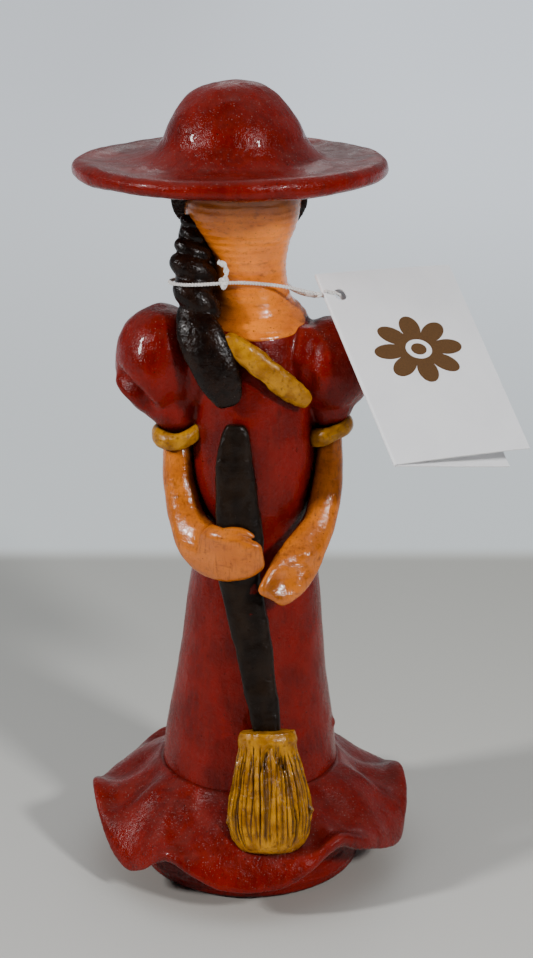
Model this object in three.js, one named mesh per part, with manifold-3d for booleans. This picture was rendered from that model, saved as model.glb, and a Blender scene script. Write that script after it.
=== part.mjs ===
// A fired clay doll in a wide hat, who holds a broom, with a folded shop tag tied round her neck.
// Millimetres, +Z up, origin at the middle of the foot's underside. The doll faces -Y.
// "Left" in a name is the -X side.

import * as THREE from "three";
import { mergeVertices } from "three/addons/utils/BufferGeometryUtils.js";
import Module from "manifold-3d";

// ---------------------------------------------------------------- driving dimensions

const GAP = 0.3; // clearance between pieces that touch
const CLAY = 4; // wall of the hollow thrown pieces

const FOOT_RADIUS = 33.8;
const FOOT_FLOOR = 5;
const VENT_RADIUS = 1.8;
const SKIRT_BOTTOM = 26.5;
const SKIRT_TOP = 104;
const BODICE_TOP = 171.4;
const NECKLINE_DROP = 0.2; // how much lower the neckline is for each millimetre towards the front
const RUFFLE_INNER_RADIUS = 27.5;
const RUFFLE_OUTER_RADIUS = 48.4;
const RUFFLE_HEM = 29.8;
const RUFFLE_THICKNESS = 4;

const HEAD_RADIUS = 16;
const HEAD_TOP = 209.6;
const HAT_CENTRE_X = -4.9;
const CROWN_CENTRE_X = -4.2;
const BRIM_RADIUS = 44.3;
const BRIM_BOTTOM = HEAD_TOP + GAP;
const BRIM_ROLL_RADIUS = 2.75;
const CROWN_BOTTOM = 217.2;
const CROWN_TOP = 236.2;

const STRING_RADIUS = 0.55;
const TAG_WIDTH = 45.5;
const TAG_LENGTH = 62.5;
const LEAF_THICKNESS = 0.45;
const TAG_HOLE_RADIUS = 1.9;
const TAG_OPENING = 14; // degrees between the two leaves at rest

// Sideways lean of the doll's axis as [height, x].
const LEAN = [[0, 0.2], [35, 0], [95, 1.7], [125, 1.3], [172, 1.3], [205, -0.6], [240, -0.6]];

// ---------------------------------------------------------------- colours

const paint = (color, roughness) => new THREE.MeshStandardMaterial({ color, roughness, metalness: 0 });
const DRESS_RED = paint(0x6b1712, 0.32);
const SKIN_CLAY = paint(0xb96a3c, 0.4);
const HAIR_BROWN = paint(0x241812, 0.35);
const GOLD_PAINT = paint(0xb9860f, 0.35);
const WHITE_CARD = paint(0xe6e4e6, 0.85);
const COTTON = paint(0xe9e6df, 0.95);

// ---------------------------------------------------------------- solids and cuts

const wasm = await Module();
wasm.setup();

function toSolid(geometry) {
  const bare = geometry.clone();
  bare.deleteAttribute("normal");
  bare.deleteAttribute("uv");
  const merged = mergeVertices(bare, 1e-4);
  return new wasm.Manifold(
    new wasm.Mesh({
      numProp: 3,
      vertProperties: new Float32Array(merged.attributes.position.array),
      triVerts: new Uint32Array(merged.index.array),
    }),
  );
}

function toGeometry(solid) {
  const { vertProperties, triVerts } = solid.getMesh();
  const geometry = new THREE.BufferGeometry();
  geometry.setAttribute("position", new THREE.BufferAttribute(vertProperties, 3));
  geometry.setIndex(new THREE.BufferAttribute(triVerts, 1));
  return geometry;
}

// The geometry with each of the other geometries taken away from it.
function cut(geometry, ...tools) {
  return toGeometry(tools.reduce((solid, tool) => solid.subtract(toSolid(tool)), toSolid(geometry)));
}

function mesh(name, geometry, material) {
  const piece = new THREE.Mesh(geometry, material);
  piece.name = name;
  return piece;
}

// ---------------------------------------------------------------- shape helpers

const vector = ([x, y, z]) => new THREE.Vector3(x, y, z);
const smooth = (points) => new THREE.CatmullRomCurve3(points.map(vector));

// A value between the entries of an evenly spaced list, at t from 0 to 1.
function between(list, t) {
  const place = THREE.MathUtils.clamp(t, 0, 1) * (list.length - 1);
  const index = Math.min(Math.floor(place), list.length - 2);
  return THREE.MathUtils.lerp(list[index], list[index + 1], place - index);
}

// A value from [place, value] pairs in rising order, eased a little at each of them.
function eased(pairs, place) {
  const found = pairs.findIndex(([at]) => at >= place);
  const next = found < 0 ? pairs.length - 1 : Math.max(found, 1);
  const [[p0, v0], [p1, v1]] = [pairs[next - 1], pairs[next]];
  const straight = THREE.MathUtils.clamp((place - p0) / (p1 - p0), 0, 1);
  const t = (straight + THREE.MathUtils.smoothstep(place, p0, p1)) / 2;
  return THREE.MathUtils.lerp(v0, v1, t);
}

// Moves each vertex by a function that changes the point it is given.
function reshape(geometry, move) {
  const position = geometry.attributes.position;
  const point = new THREE.Vector3();
  for (let i = 0; i < position.count; i += 1) {
    move(point.fromBufferAttribute(position, i));
    position.setXYZ(i, point.x, point.y, point.z);
  }
  return geometry;
}

const leaning = (geometry) => reshape(geometry, (point) => {
  point.x += eased(LEAN, point.z);
});

// A body of revolution round the Z axis, from [radius, height] pairs in rising order.
function turned(profile, segments = 40) {
  const geometry = new THREE.LatheGeometry(profile.map(([r, z]) => new THREE.Vector2(r, z)), segments);
  return geometry.rotateX(Math.PI / 2);
}

// Both walls of a thrown shell that is open above and below: the outline up, and back down inside it.
function shell(outline, segments) {
  const inner = outline.map(([r, z]) => [r - CLAY, z]).reverse();
  return turned([...outline, ...inner, outline[0]], segments);
}

// The outline filled to the axis, `grow` larger all round: a solid, or the tool that cuts a neighbour clear.
function plug(outline, grow = 0, segments = 40) {
  const [first, last] = [outline[0], outline[outline.length - 1]];
  const wall = outline.map(([r, z]) => [r + grow, z]);
  return turned([[0, first[1]], ...wall, [0, last[1]]], segments);
}

// A closed coil of clay: a sphere whose rings are laid along a curve, so that both ends are round.
// width runs across the coil and depth towards the front; both are lists of half sizes from end to end.
function coil({ path, width, depth = width, blunt = 0.4, sides = 10, rings = 14, grow = 0 }) {
  const geometry = new THREE.SphereGeometry(1, sides, rings);
  return reshape(geometry, (point) => {
    const ring = Math.hypot(point.x, point.z);
    const fullness = ring > 1e-6 ? Math.pow(ring, blunt) / ring : 0;
    const [x, pole, z] = [point.x * fullness, THREE.MathUtils.clamp(point.y, -1, 1), point.z * fullness];
    const t = (1 - pole) / 2;
    const tangent = path.getTangentAt(t);
    const face = new THREE.Vector3(0, -1, 0);
    face.addScaledVector(tangent, -face.dot(tangent)).normalize();
    const side = face.clone().cross(tangent);
    point.copy(path.getPointAt(t)).addScaledVector(tangent, -pole * grow);
    point.addScaledVector(side, x * (between(width, t) + grow));
    point.addScaledVector(face, z * (between(depth, t) + grow));
  });
}

// A round string along a path.
function cord(path, steps, radius = STRING_RADIUS) {
  const section = new THREE.Shape().absarc(0, 0, radius, 0, 2 * Math.PI);
  return new THREE.ExtrudeGeometry(section, { steps, extrudePath: path, curveSegments: 4 });
}

// ---------------------------------------------------------------- foot, skirt and ruffle

function foot() {
  const shoulder = SKIRT_BOTTOM - GAP;
  const inside = FOOT_RADIUS - 6;
  const dish = turned([
    [0, 0], [FOOT_RADIUS - 1.4, 0], [FOOT_RADIUS - 0.3, 0.9], [FOOT_RADIUS, 4], [FOOT_RADIUS - 1, 8],
    [FOOT_RADIUS - 0.5, 11.5], [FOOT_RADIUS - 1.3, 14.5], [27, shoulder], [22.5, shoulder], [inside, 14],
    [inside, FOOT_FLOOR], [0, FOOT_FLOOR],
  ]);
  const vent = new THREE.CylinderGeometry(VENT_RADIUS, VENT_RADIUS, 4 * FOOT_FLOOR, 12);
  vent.rotateX(Math.PI / 2).translate(0, 14, 0);
  return cut(dish, vent);
}

const SKIRT_OUTLINE = [
  [27, SKIRT_BOTTOM], [26.5, 33], [25.4, 42], [23.2, 56], [21.6, 68], [20.5, 78], [19.2, 90],
  [18, 97.5], [16.4, SKIRT_TOP],
];
const skirtPlug = (grow) => leaning(plug(SKIRT_OUTLINE, grow));

// Height of the ruffle's edge as [azimuth in degrees, height]; it waves round the hem.
const RUFFLE_WAVES = [
  [-180, 22.5], [-170, 24.6], [-159, 19], [-148, 12.4], [-138, 9.7], [-130, 12.6], [-120, 18.6], [-110, 15.4],
  [-99, 11.6], [-80, 12], [-69, 16.6], [-56, 23], [-46, 19.6], [-34, 14.2], [-18, 11.2], [-4, 18.6], [10, 22.5],
  [26, 17.1], [44, 12.6], [60, 15.5], [76, 19.5], [92, 15], [108, 15.5], [126, 20.8], [146, 14.2], [163, 14.4],
  [180, 22.5],
];

// The ruffle slopes from the skirt's hem down to its waving edge. As a tool that clears what rests on it,
// it is `grow` larger all round and reaches further down by `below`.
function ruffle(grow = 0, below = 0) {
  const half = RUFFLE_THICKNESS / 2 + grow;
  const under = -half - below;
  const [inner, outer] = [RUFFLE_INNER_RADIUS - grow, RUFFLE_OUTER_RADIUS + grow];
  const section = [
    [inner, under], [34, under], [41, under], [outer - half, under], [outer, 0], [outer - half, half],
    [41, half], [34, half], [inner, half], [inner, under],
  ];
  return reshape(turned(section, 72), (point) => {
    const azimuth = THREE.MathUtils.radToDeg(Math.atan2(point.y, point.x));
    const width = RUFFLE_OUTER_RADIUS - RUFFLE_INNER_RADIUS;
    const outward = (Math.hypot(point.x, point.y) - RUFFLE_INNER_RADIUS) / width;
    const fall = Math.pow(THREE.MathUtils.clamp(outward, 0, 1), 0.85);
    point.z += THREE.MathUtils.lerp(RUFFLE_HEM, eased(RUFFLE_WAVES, azimuth), fall);
  });
}

// ---------------------------------------------------------------- bodice, neck and head

const BODICE_OUTLINE = [
  [16.2, SKIRT_TOP + GAP], [16.3, 109], [17.2, 115.5], [17.8, 124], [17.9, 136], [17.7, 148], [17.2, 158],
  [16.6, 165], [15.8, BODICE_TOP],
];

// The neckline is lower at the front than at the back.
const slopedNeck = (geometry) => reshape(geometry, (point) => {
  const near = THREE.MathUtils.smoothstep(point.z, 150, 168) - THREE.MathUtils.smoothstep(point.z, 172, 182);
  point.z += NECKLINE_DROP * point.y * near;
});

const bodicePlug = (grow) => leaning(slopedNeck(plug(BODICE_OUTLINE, grow)));

const HEAD_OUTLINE = [
  [10.4, 160], [11.2, 168.3], [15.2, 170.4], [13.6, 172.2], [11.2, 174.8], [10.3, 179], [10.1, 185], [11.3, 190.5],
  [13.8, 196], [15.5, 201.5], [HEAD_RADIUS, HEAD_TOP],
];
const head = (grow) => leaning(slopedNeck(plug(HEAD_OUTLINE, grow, 32)));

const bodice = () => cut(leaning(slopedNeck(shell(BODICE_OUTLINE))), head(GAP));

// ---------------------------------------------------------------- hat

function hatBrim() {
  const roll = [-90, -45, 0, 45, 90].map((degrees) => {
    const angle = THREE.MathUtils.degToRad(degrees);
    const out = BRIM_RADIUS - BRIM_ROLL_RADIUS * (1 - Math.cos(angle));
    return [out, BRIM_BOTTOM + BRIM_ROLL_RADIUS * (1 + Math.sin(angle))];
  });
  const seat = CROWN_BOTTOM - GAP;
  const profile = [[0, BRIM_BOTTOM], ...roll, [35, 214.4], [26, 215.6], [21, seat], [0, seat]];
  return turned(profile, 48).translate(HAT_CENTRE_X, 0, 0);
}

function hatCrown() {
  const outside = [
    [21, CROWN_BOTTOM], [20, 219.2], [18.8, 222.4], [16.9, 226.4], [14, 230.4], [10.3, 233.6], [5.6, 235.6],
    [0, CROWN_TOP],
  ];
  const inside = [[0, CROWN_TOP - CLAY], [8.5, 229.5], [12.8, 224.5], [15.4, CROWN_BOTTOM]];
  return turned([...outside, ...inside, outside[0]], 36).translate(CROWN_CENTRE_X, 0, 0);
}

// ---------------------------------------------------------------- hair and braid

// A shell over the back and sides of the head; its edge runs back and down from ear to nape.
function hairShell() {
  const outline = [[12.4, 186], [15.4, 190.5], [17.6, 195], [19, 200], [19.3, HEAD_TOP]];
  const hair = plug(outline, 0, 32).translate(-2.5, 0, 0);
  const front = new THREE.BoxGeometry(60, 40, 80);
  front.translate(0, -20, 0).rotateX(0.75).translate(0, -3.5, 206);
  return cut(hair, head(GAP), front);
}

const BRAID_PATH = smooth([
  [-17.3, -4, 198.5], [-16.7, -5.6, 193], [-15.7, -7.4, 187.5], [-15, -9, 182.5], [-14.7, -11.2, 178],
  [-14.6, -14, 174],
]);
const BRAID_HALF_WIDTH = [1.8, 3.4, 4.9, 6, 6.2, 5.6];
const BRAID_TURNS = 1.7;

// One of the braid's two strands, which wind round each other and grow thicker downwards.
function braidStrand(phase, grow = 0) {
  const steps = 16;
  const points = Array.from({ length: steps + 1 }, (_, i) => {
    const t = i / steps;
    const angle = phase + 2 * Math.PI * BRAID_TURNS * t;
    const offset = between(BRAID_HALF_WIDTH, t) * 0.45;
    const turn = new THREE.Vector3(Math.cos(angle), -Math.sin(angle), 0);
    return BRAID_PATH.getPointAt(t).addScaledVector(turn, offset);
  });
  const width = BRAID_HALF_WIDTH.map((half) => half * 0.58);
  return coil({ path: new THREE.CatmullRomCurve3(points), width, blunt: 0.5, rings: 24, grow });
}

const BRAID_END_PATH = smooth([
  [-14.4, -17, 173], [-12.6, -19.6, 167], [-9.4, -21, 160], [-6.4, -21.4, 153.5], [-4.6, -21.2, 149.5],
]);
const BRAID_END_SIZES = { width: [4.6, 5.8, 6, 5.8, 4.6], depth: [2.6, 2.5, 2.3, 2.1, 1.8] };
const braidEnd = (grow) => coil({ path: BRAID_END_PATH, ...BRAID_END_SIZES, grow });

// ---------------------------------------------------------------- sleeves, arms and bands

const SIDES = {
  left: {
    sleeve: { centre: [-24.6, -2.5, 157], radii: [13.4, 14.5, 15.8], dent: [-36.5, -9, 145] },
    band: { centre: [-20.3, -5.6, 136], tilt: [-0.25, -0.3] },
    arm: {
      path: smooth([
        [-20.2, -4.8, 145], [-20.3, -5.4, 137], [-20.2, -6.6, 129.5], [-19.7, -8.8, 121.5], [-17.4, -14, 112.8],
        [-13, -20.6, 108], [-7.6, -25.8, 107.4], [-1.6, -28.2, 107.8], [4.2, -28.8, 108.6],
      ]),
      width: [4.2, 4.4, 4.9, 4.9, 4.8, 5.6, 7, 7.8, 7.2, 5.8],
      depth: [4.2, 4.4, 4.8, 4.8, 4.5, 4.1, 3.6, 3.1, 2.8, 2.3],
    },
  },
  right: {
    sleeve: { centre: [23.6, -2.5, 156.2], radii: [12, 14, 14.8], dent: [34, -10, 146] },
    band: { centre: [23.3, -5.8, 136.8], tilt: [-0.25, -0.3] },
    arm: {
      path: smooth([
        [23.2, -4.8, 145], [23.4, -5.6, 137], [23.1, -6.8, 129], [22.5, -9.4, 120.5], [20.4, -14.6, 112.4],
        [16.6, -20.8, 106.8], [12.4, -26, 102], [8.8, -29.4, 98.2], [5.4, -31, 94.6],
      ]),
      width: [3.8, 4.1, 4.2, 4.2, 4.3, 4.7, 5.6, 6.9, 7.2, 6],
      depth: [3.8, 4.1, 4.2, 4.2, 4.2, 4, 3.6, 3.2, 2.9, 2.4],
    },
  },
};

// A puffed sleeve, pinched in at the dent near its lower outer side.
function sleeve({ centre, radii, dent }) {
  const puff = new THREE.SphereGeometry(1, 24, 18).rotateX(Math.PI / 2).scale(...radii).translate(...centre);
  const [pinch, middle] = [vector(dent), vector(centre)];
  return reshape(puff, (point) => {
    const pull = 1.6 * Math.exp(-point.distanceToSquared(pinch) / 14);
    point.lerp(middle, pull / point.distanceTo(middle));
  });
}

const arm = (sizes, grow) => coil({ ...sizes, rings: 22, sides: 12, blunt: 0.3, grow });

// A clay band round the upper arm: a flat ring that slants with the arm.
function band({ centre, tilt }) {
  const [middleRadius, halfThickness, halfHeight] = [6.2, 1.3, 2.3];
  const section = Array.from({ length: 9 }, (_, i) => {
    const angle = (i * Math.PI) / 4;
    return [middleRadius + halfThickness * Math.cos(angle), halfHeight * Math.sin(angle)];
  });
  return turned(section, 24).rotateX(tilt[0]).rotateY(tilt[1]).translate(...centre);
}

// ---------------------------------------------------------------- collar ribbon and broom

const RIBBON_PATH = smooth([
  [-6.4, -19, 168.4], [-1, -20.4, 164], [6, -20.7, 158.4], [12.6, -18.8, 152.4], [17, -16.4, 148.4],
]);
const ribbon = (grow) => coil({
  path: RIBBON_PATH, width: [2.9, 3, 2.8, 3.1, 3.1], depth: [2, 2, 2, 2, 2], grow,
});

const HANDLE_PATH = smooth([
  [-3.4, -21.3, 143.4], [-3.8, -21.4, 132], [-3.4, -21.8, 120], [-3.3, -22.6, 108], [-3.2, -23.6, 98.4],
  [-0.4, -25, 86], [2.4, -27, 71], [5.2, -30, 54],
]);
const HANDLE_SIZES = {
  width: [4.2, 5.2, 5.2, 5, 5, 5.2, 4.8, 4.4, 4], depth: [2.6, 3, 3, 2.8, 2.8, 2.8, 2.8, 2.8, 2.8],
};
const broomHandle = (grow) => coil({ path: HANDLE_PATH, ...HANDLE_SIZES, blunt: 0.2, rings: 18, grow });

// The broom's head: a bell of straw that leans back on the skirt.
function broomHead() {
  const outline = [
    [6.5, -0.8], [10.4, 2.6], [12.1, 8], [12.1, 13], [10.8, 19.5], [9.2, 26.5], [8.6, 31.5], [7, 34.6],
  ];
  const bell = plug(outline, 0, 24).scale(1, 0.66, 1);
  return bell.rotateX(-0.26).rotateY(-0.03).translate(6.4, -40, 20.6);
}

// ---------------------------------------------------------------- tag and string

const TAG_CORNER = [19.3, -4.4, 182.4];
const TAG_ACROSS = [0.87, 0.5, -0.04];
const TAG_DOWN = [0.33, -0.64, -0.7];
const TAG_HOLE = [4.6, 7.4]; // across and down from the corner

// The tag's own frame: X along its top edge, Y up its fold, Z out of its front.
function tagFrame() {
  const across = vector(TAG_ACROSS).normalize();
  const up = vector(TAG_DOWN).negate();
  up.addScaledVector(across, -up.dot(across)).normalize();
  const basis = new THREE.Matrix4().makeBasis(across, up, across.clone().cross(up));
  return basis.setPosition(vector(TAG_CORNER));
}

// One leaf of the folded card, with the punched hole.
function leaf(bottom) {
  const outline = new THREE.Shape();
  outline.moveTo(0, -TAG_LENGTH).lineTo(TAG_WIDTH, -TAG_LENGTH).lineTo(TAG_WIDTH, 0).lineTo(0, 0).closePath();
  outline.holes.push(new THREE.Path().absarc(TAG_HOLE[0], -TAG_HOLE[1], TAG_HOLE_RADIUS, 0, 2 * Math.PI));
  const card = new THREE.ExtrudeGeometry(outline, { depth: LEAF_THICKNESS, bevelEnabled: false, curveSegments: 6 });
  return card.translate(0, 0, bottom);
}

// The string that crosses the fold on one face of the tag and dips into the hole; `out` is that face's side.
function foldStrand(out) {
  const [x, y] = [TAG_HOLE[0], -TAG_HOLE[1]];
  const clear = out * (GAP / 2 + LEAF_THICKNESS + GAP + STRING_RADIUS);
  return cord(smooth([[1, y + 0.9, clear], [2.6, y + 0.4, clear], [x, y, out * 0.9]]), 5);
}

function tag() {
  const opened = new THREE.Group();
  opened.rotation.y = THREE.MathUtils.degToRad(TAG_OPENING);
  opened.add(mesh("tag_back_leaf", leaf(-GAP / 2 - LEAF_THICKNESS), WHITE_CARD));
  opened.add(mesh("string_behind_tag", foldStrand(-1), COTTON));
  const group = new THREE.Group();
  group.applyMatrix4(tagFrame());
  group.add(opened);
  group.add(mesh("tag_front_leaf", leaf(GAP / 2), WHITE_CARD));
  group.add(mesh("string_over_tag", foldStrand(1), COTTON));
  return group;
}

// The string's loop: from the right of the neck across its front, round the braid and back behind the neck.
const LOOP_PATH = smooth([
  [12.2, -10.2, 180], [9.4, -10.5, 180.6], [6.4, -10.9, 181.1], [1.2, -11.7, 181.7], [-4, -13.2, 182.2],
  [-9.4, -16.2, 182.5], [-15, -16.9, 182.4], [-19.8, -14.2, 182], [-21.9, -9, 181.6], [-20, -3.2, 181.2],
  [-14.6, 1.4, 180.8], [-10.2, 6, 180.4], [-4.6, 10.2, 180], [1.4, 11.6, 179.2], [7.2, 10, 178.3],
  [11.2, 6.2, 177.5], [12.4, 2.4, 177],
]);
const KNOT = [-6.6, -15, 182.6];
const HITCH = [20.1, -9.3, 177.9];

const LEAD_PATHS = {
  string_lead_front: smooth([[12.9, -10.1, 179.8], [15.6, -9.8, 179.1], [18.6, -9.5, 178.4]]),
  string_lead_rear: smooth([[12.9, 1.6, 176.9], [15.2, -1.9, 176.6], [18.9, -7.2, 177]]),
};

const knot = () => new THREE.SphereGeometry(1, 12, 8).scale(1.6, 1.5, 2).translate(...KNOT);
const tail = () => coil({
  path: smooth([[-6.4, -15.6, 185.2], [-5.9, -15.8, 186.8], [-6.8, -15.6, 188.2], [-8.4, -15.2, 188.3]]),
  width: [0.7, 0.95, 0.95, 0.7], sides: 8, rings: 8,
});

// ---------------------------------------------------------------- assembly

const doll = new THREE.Group();
const add = (name, geometry, material) => doll.add(mesh(name, geometry, material));

add("foot", foot(), DRESS_RED);
add("skirt", leaning(shell(SKIRT_OUTLINE)), DRESS_RED);
add("ruffle", ruffle(), DRESS_RED);
add("bodice", bodice(), DRESS_RED);
add("neck_head", head(0), SKIN_CLAY);
add("hat_brim", hatBrim(), DRESS_RED);
add("hat_crown", hatCrown(), DRESS_RED);

const [proudBodice, proudSkirt] = [bodicePlug(GAP), skirtPlug(GAP)];
const [proudHead, proudEnd] = [head(GAP), braidEnd(GAP)];
const proudStrands = [braidStrand(0, GAP), braidStrand(Math.PI, GAP)];
add("hair_shell", cut(hairShell(), ...proudStrands), HAIR_BROWN);
add("braid_strand_a", cut(braidStrand(0), proudHead, proudEnd), HAIR_BROWN);
add("braid_strand_b", cut(braidStrand(Math.PI), proudStrands[0], proudHead, proudEnd), HAIR_BROWN);
add("braid_end", cut(braidEnd(0), proudBodice, proudHead), HAIR_BROWN);

const proudArms = { left: arm(SIDES.left.arm, GAP), right: arm(SIDES.right.arm, GAP) };
for (const [side, sizes] of Object.entries(SIDES)) {
  const puff = cut(sleeve(sizes.sleeve), proudBodice, proudArms[side], proudEnd, ...proudStrands);
  add(`sleeve_${side}`, puff, DRESS_RED);
  add(`arm_band_${side}`, cut(band(sizes.band), proudArms[side], proudBodice), GOLD_PAINT);
}
add("arm_left", cut(arm(SIDES.left.arm, 0), proudBodice), SKIN_CLAY);
add("arm_right", cut(arm(SIDES.right.arm, 0), proudBodice, proudArms.left), SKIN_CLAY);
add("collar_ribbon", cut(ribbon(0), proudBodice, proudEnd), GOLD_PAINT);

const handle = cut(broomHandle(0), proudArms.left, proudArms.right, proudBodice, proudSkirt);
add("broom_handle", handle, HAIR_BROWN);
add("broom_head", cut(broomHead(), proudSkirt, ruffle(GAP, 15), broomHandle(GAP)), GOLD_PAINT);

add("string_loop", cord(LOOP_PATH, 56), COTTON);
add("string_knot", cut(knot(), cord(LOOP_PATH, 56, STRING_RADIUS + GAP)), COTTON);
add("string_tail", tail(), COTTON);
for (const [name, path] of Object.entries(LEAD_PATHS)) {
  add(name, cord(path, 6), COTTON);
}
add("string_hitch", new THREE.SphereGeometry(1, 10, 8).scale(0.9, 0.9, 1.1).translate(...HITCH), COTTON);
doll.add(tag());

export default doll;
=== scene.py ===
import itertools
import math

import bmesh
import bpy
import numpy as np
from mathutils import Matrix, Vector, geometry


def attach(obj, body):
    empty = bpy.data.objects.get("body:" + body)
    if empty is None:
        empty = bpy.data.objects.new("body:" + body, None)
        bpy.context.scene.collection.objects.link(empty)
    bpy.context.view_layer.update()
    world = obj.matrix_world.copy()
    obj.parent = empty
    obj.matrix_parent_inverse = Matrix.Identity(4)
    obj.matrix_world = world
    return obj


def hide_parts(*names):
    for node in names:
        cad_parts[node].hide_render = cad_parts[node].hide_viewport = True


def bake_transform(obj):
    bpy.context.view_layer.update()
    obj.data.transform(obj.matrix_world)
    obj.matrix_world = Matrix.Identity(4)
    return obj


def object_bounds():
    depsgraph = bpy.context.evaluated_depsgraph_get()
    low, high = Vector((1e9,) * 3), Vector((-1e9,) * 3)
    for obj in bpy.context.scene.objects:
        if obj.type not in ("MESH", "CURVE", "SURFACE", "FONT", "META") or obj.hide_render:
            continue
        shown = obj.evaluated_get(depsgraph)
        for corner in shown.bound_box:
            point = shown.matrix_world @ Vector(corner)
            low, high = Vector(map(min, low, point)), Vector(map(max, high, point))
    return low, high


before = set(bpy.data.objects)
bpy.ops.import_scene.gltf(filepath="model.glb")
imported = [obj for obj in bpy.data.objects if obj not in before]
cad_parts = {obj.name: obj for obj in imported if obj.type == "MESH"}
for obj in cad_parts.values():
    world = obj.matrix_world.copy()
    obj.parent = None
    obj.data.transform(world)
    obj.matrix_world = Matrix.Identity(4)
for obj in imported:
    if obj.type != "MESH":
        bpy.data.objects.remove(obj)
cad_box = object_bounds()

# The doll's shapes are written in millimetres and made in metres.
MM = 0.001

# ---------------------------------------------------------------- driving dimensions, in millimetres

FOOT_RADIUS = 33.8
FOOT_FLOOR = 5.0
VENT_RADIUS = 1.8
VENT_OFFSET = 14.0
SKIRT_BOTTOM = 26.5
NECKLINE_DROP = 0.2
RUFFLE_INNER_RADIUS = 25.8
RUFFLE_OUTER_RADIUS = 48.4
RUFFLE_HEM = 29.8
RUFFLE_THICKNESS = 4.0
HAT_CENTRE_X = -4.9
CROWN_CENTRE_X = -4.2
BRIM_BOTTOM = 209.9
STRING_RADIUS = 0.55
TAG_WIDTH = 45.5
TAG_LENGTH = 62.5
LEAF_THICKNESS = 0.45
LEAF_GAP = 0.3
TAG_HOLE_RADIUS = 1.9
TAG_OPENING = 14.0

# Sideways lean of the doll's axis as (height, x).
LEAN = [(0, 0.2), (35, 0), (95, 1.7), (125, 1.3), (172, 1.3), (205, -0.6), (240, -0.6)]

# ---------------------------------------------------------------- curves and random values


def spline(points, count=None, even=True):
    """Points on a smooth curve through the given ones, spaced evenly along it."""
    points = np.asarray(points, float)
    knots = np.concatenate([[0], np.cumsum(np.linalg.norm(np.diff(points, axis=0), axis=1) ** 0.5)])
    slopes = np.diff(points, axis=0) / np.diff(knots)[:, None]
    across = (points[2:] - points[:-2]) / (knots[2:] - knots[:-2])[:, None]
    tangents = np.vstack([slopes[:1], slopes[:-1] - across + slopes[1:], slopes[-1:]])
    place = np.linspace(0, len(points) - 1, 32 * (len(points) - 1) + 1)
    index = np.minimum(place.astype(int), len(points) - 2)
    t = (place - index)[:, None]
    step = np.diff(knots)[index][:, None]
    fine = (
        points[index] * (2 * t**3 - 3 * t**2 + 1)
        + points[index + 1] * (3 * t**2 - 2 * t**3)
        + tangents[index] * step * (t**3 - 2 * t**2 + t)
        + tangents[index + 1] * step * (t**3 - t**2)
    )
    if count is None:
        return fine
    length = np.concatenate([[0], np.cumsum(np.linalg.norm(np.diff(fine, axis=0), axis=1))])
    wanted = np.linspace(0, length[-1], count) if even else count * length[-1]
    return np.stack([np.interp(wanted, length, axis) for axis in fine.T], axis=1)


def along(values, t):
    """A smooth value between the entries of an evenly spaced list, at t from 0 to 1."""
    values = np.asarray(values, float)
    padded = np.concatenate([[2 * values[0] - values[1]], values, [2 * values[-1] - values[-2]]])
    place = np.clip(t, 0, 1) * (len(values) - 1)
    index = np.minimum(place.astype(int), len(values) - 2)
    f = place - index
    a, b, c, d = (padded[index + i] for i in range(4))
    return b + 0.5 * f * (c - a + f * (2 * a - 5 * b + 4 * c - d + f * (3 * (b - c) + d - a)))


def eased(pairs, place):
    """A value from (place, value) pairs in rising order, eased a little at each of them."""
    at, values = np.array(pairs, float).T
    index = np.clip(np.searchsorted(at, place), 1, len(at) - 1)
    straight = np.clip((place - at[index - 1]) / (at[index] - at[index - 1]), 0, 1)
    t = (straight + smoothstep(straight)) / 2
    return values[index - 1] + (values[index] - values[index - 1]) * t


def wave(pairs, azimuth):
    """A smooth value round a circle, from (azimuth in degrees, value) pairs that end where they began."""
    at, values = np.array(pairs, float).T
    ahead, behind = np.roll(values[:-1], -1), np.roll(values[:-1], 1)
    gap = np.diff(at)
    slopes = (ahead - behind) / (gap + np.roll(gap, 1))
    slopes = np.append(slopes, slopes[0])
    index = np.clip(np.searchsorted(at, azimuth), 1, len(at) - 1) - 1
    t = (azimuth - at[index]) / gap[index]
    return (values[index] * (2 * t**3 - 3 * t**2 + 1) + values[index + 1] * (3 * t**2 - 2 * t**3)
            + gap[index] * (slopes[index] * (t**3 - 2 * t**2 + t) + slopes[index + 1] * (t**3 - t**2)))


def circle(count):
    """Evenly spaced angles round a full turn, in radians."""
    return 2 * np.pi * np.arange(count) / count


def smoothstep(x, low=0.0, high=1.0):
    """0 below low, 1 above high, and an S-shaped curve between them."""
    t = np.clip((x - low) / (high - low), 0, 1)
    return t * t * (3 - 2 * t)


def lattice(cells, seed):
    """A repeatable random value from -1 to 1 for each whole-number cell."""
    mixed = (cells[:, 0] * 73856093) ^ (cells[:, 1] * 19349663) ^ (cells[:, 2] * 83492791)
    mixed = (mixed ^ (seed * 2654435761)) & 0xFFFFFFFF
    mixed = ((mixed ^ (mixed >> 15)) * 2246822519) & 0xFFFFFFFF
    mixed = ((mixed ^ (mixed >> 13)) * 3266489917) & 0xFFFFFFFF
    return (mixed ^ (mixed >> 16)) / 0x7FFFFFFF - 1


def noise(points, size, seed):
    """Smooth random values from -1 to 1, in lumps about `size` across."""
    scaled = np.asarray(points, float) / size
    cells = np.floor(scaled).astype(np.int64)
    f = smoothstep(scaled - cells)
    total = np.zeros(len(scaled))
    for corner in itertools.product((0, 1), repeat=3):
        weight = np.prod(np.where(corner, f, 1 - f), axis=1)
        total += weight * lattice(cells + np.array(corner), seed)
    return total


def worked(points, lumps, seed):
    """How far hand-worked clay stands out from its ideal shape; lumps are (size, height) pairs."""
    return sum(height * noise(points, size, seed + i) for i, (size, height) in enumerate(lumps))


def roughened(lumps, seed):
    """A sculpt that only makes the surface uneven, as hand-worked clay is."""
    def sculpt(at, out):
        return worked(at, lumps, seed)

    return sculpt


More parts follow.
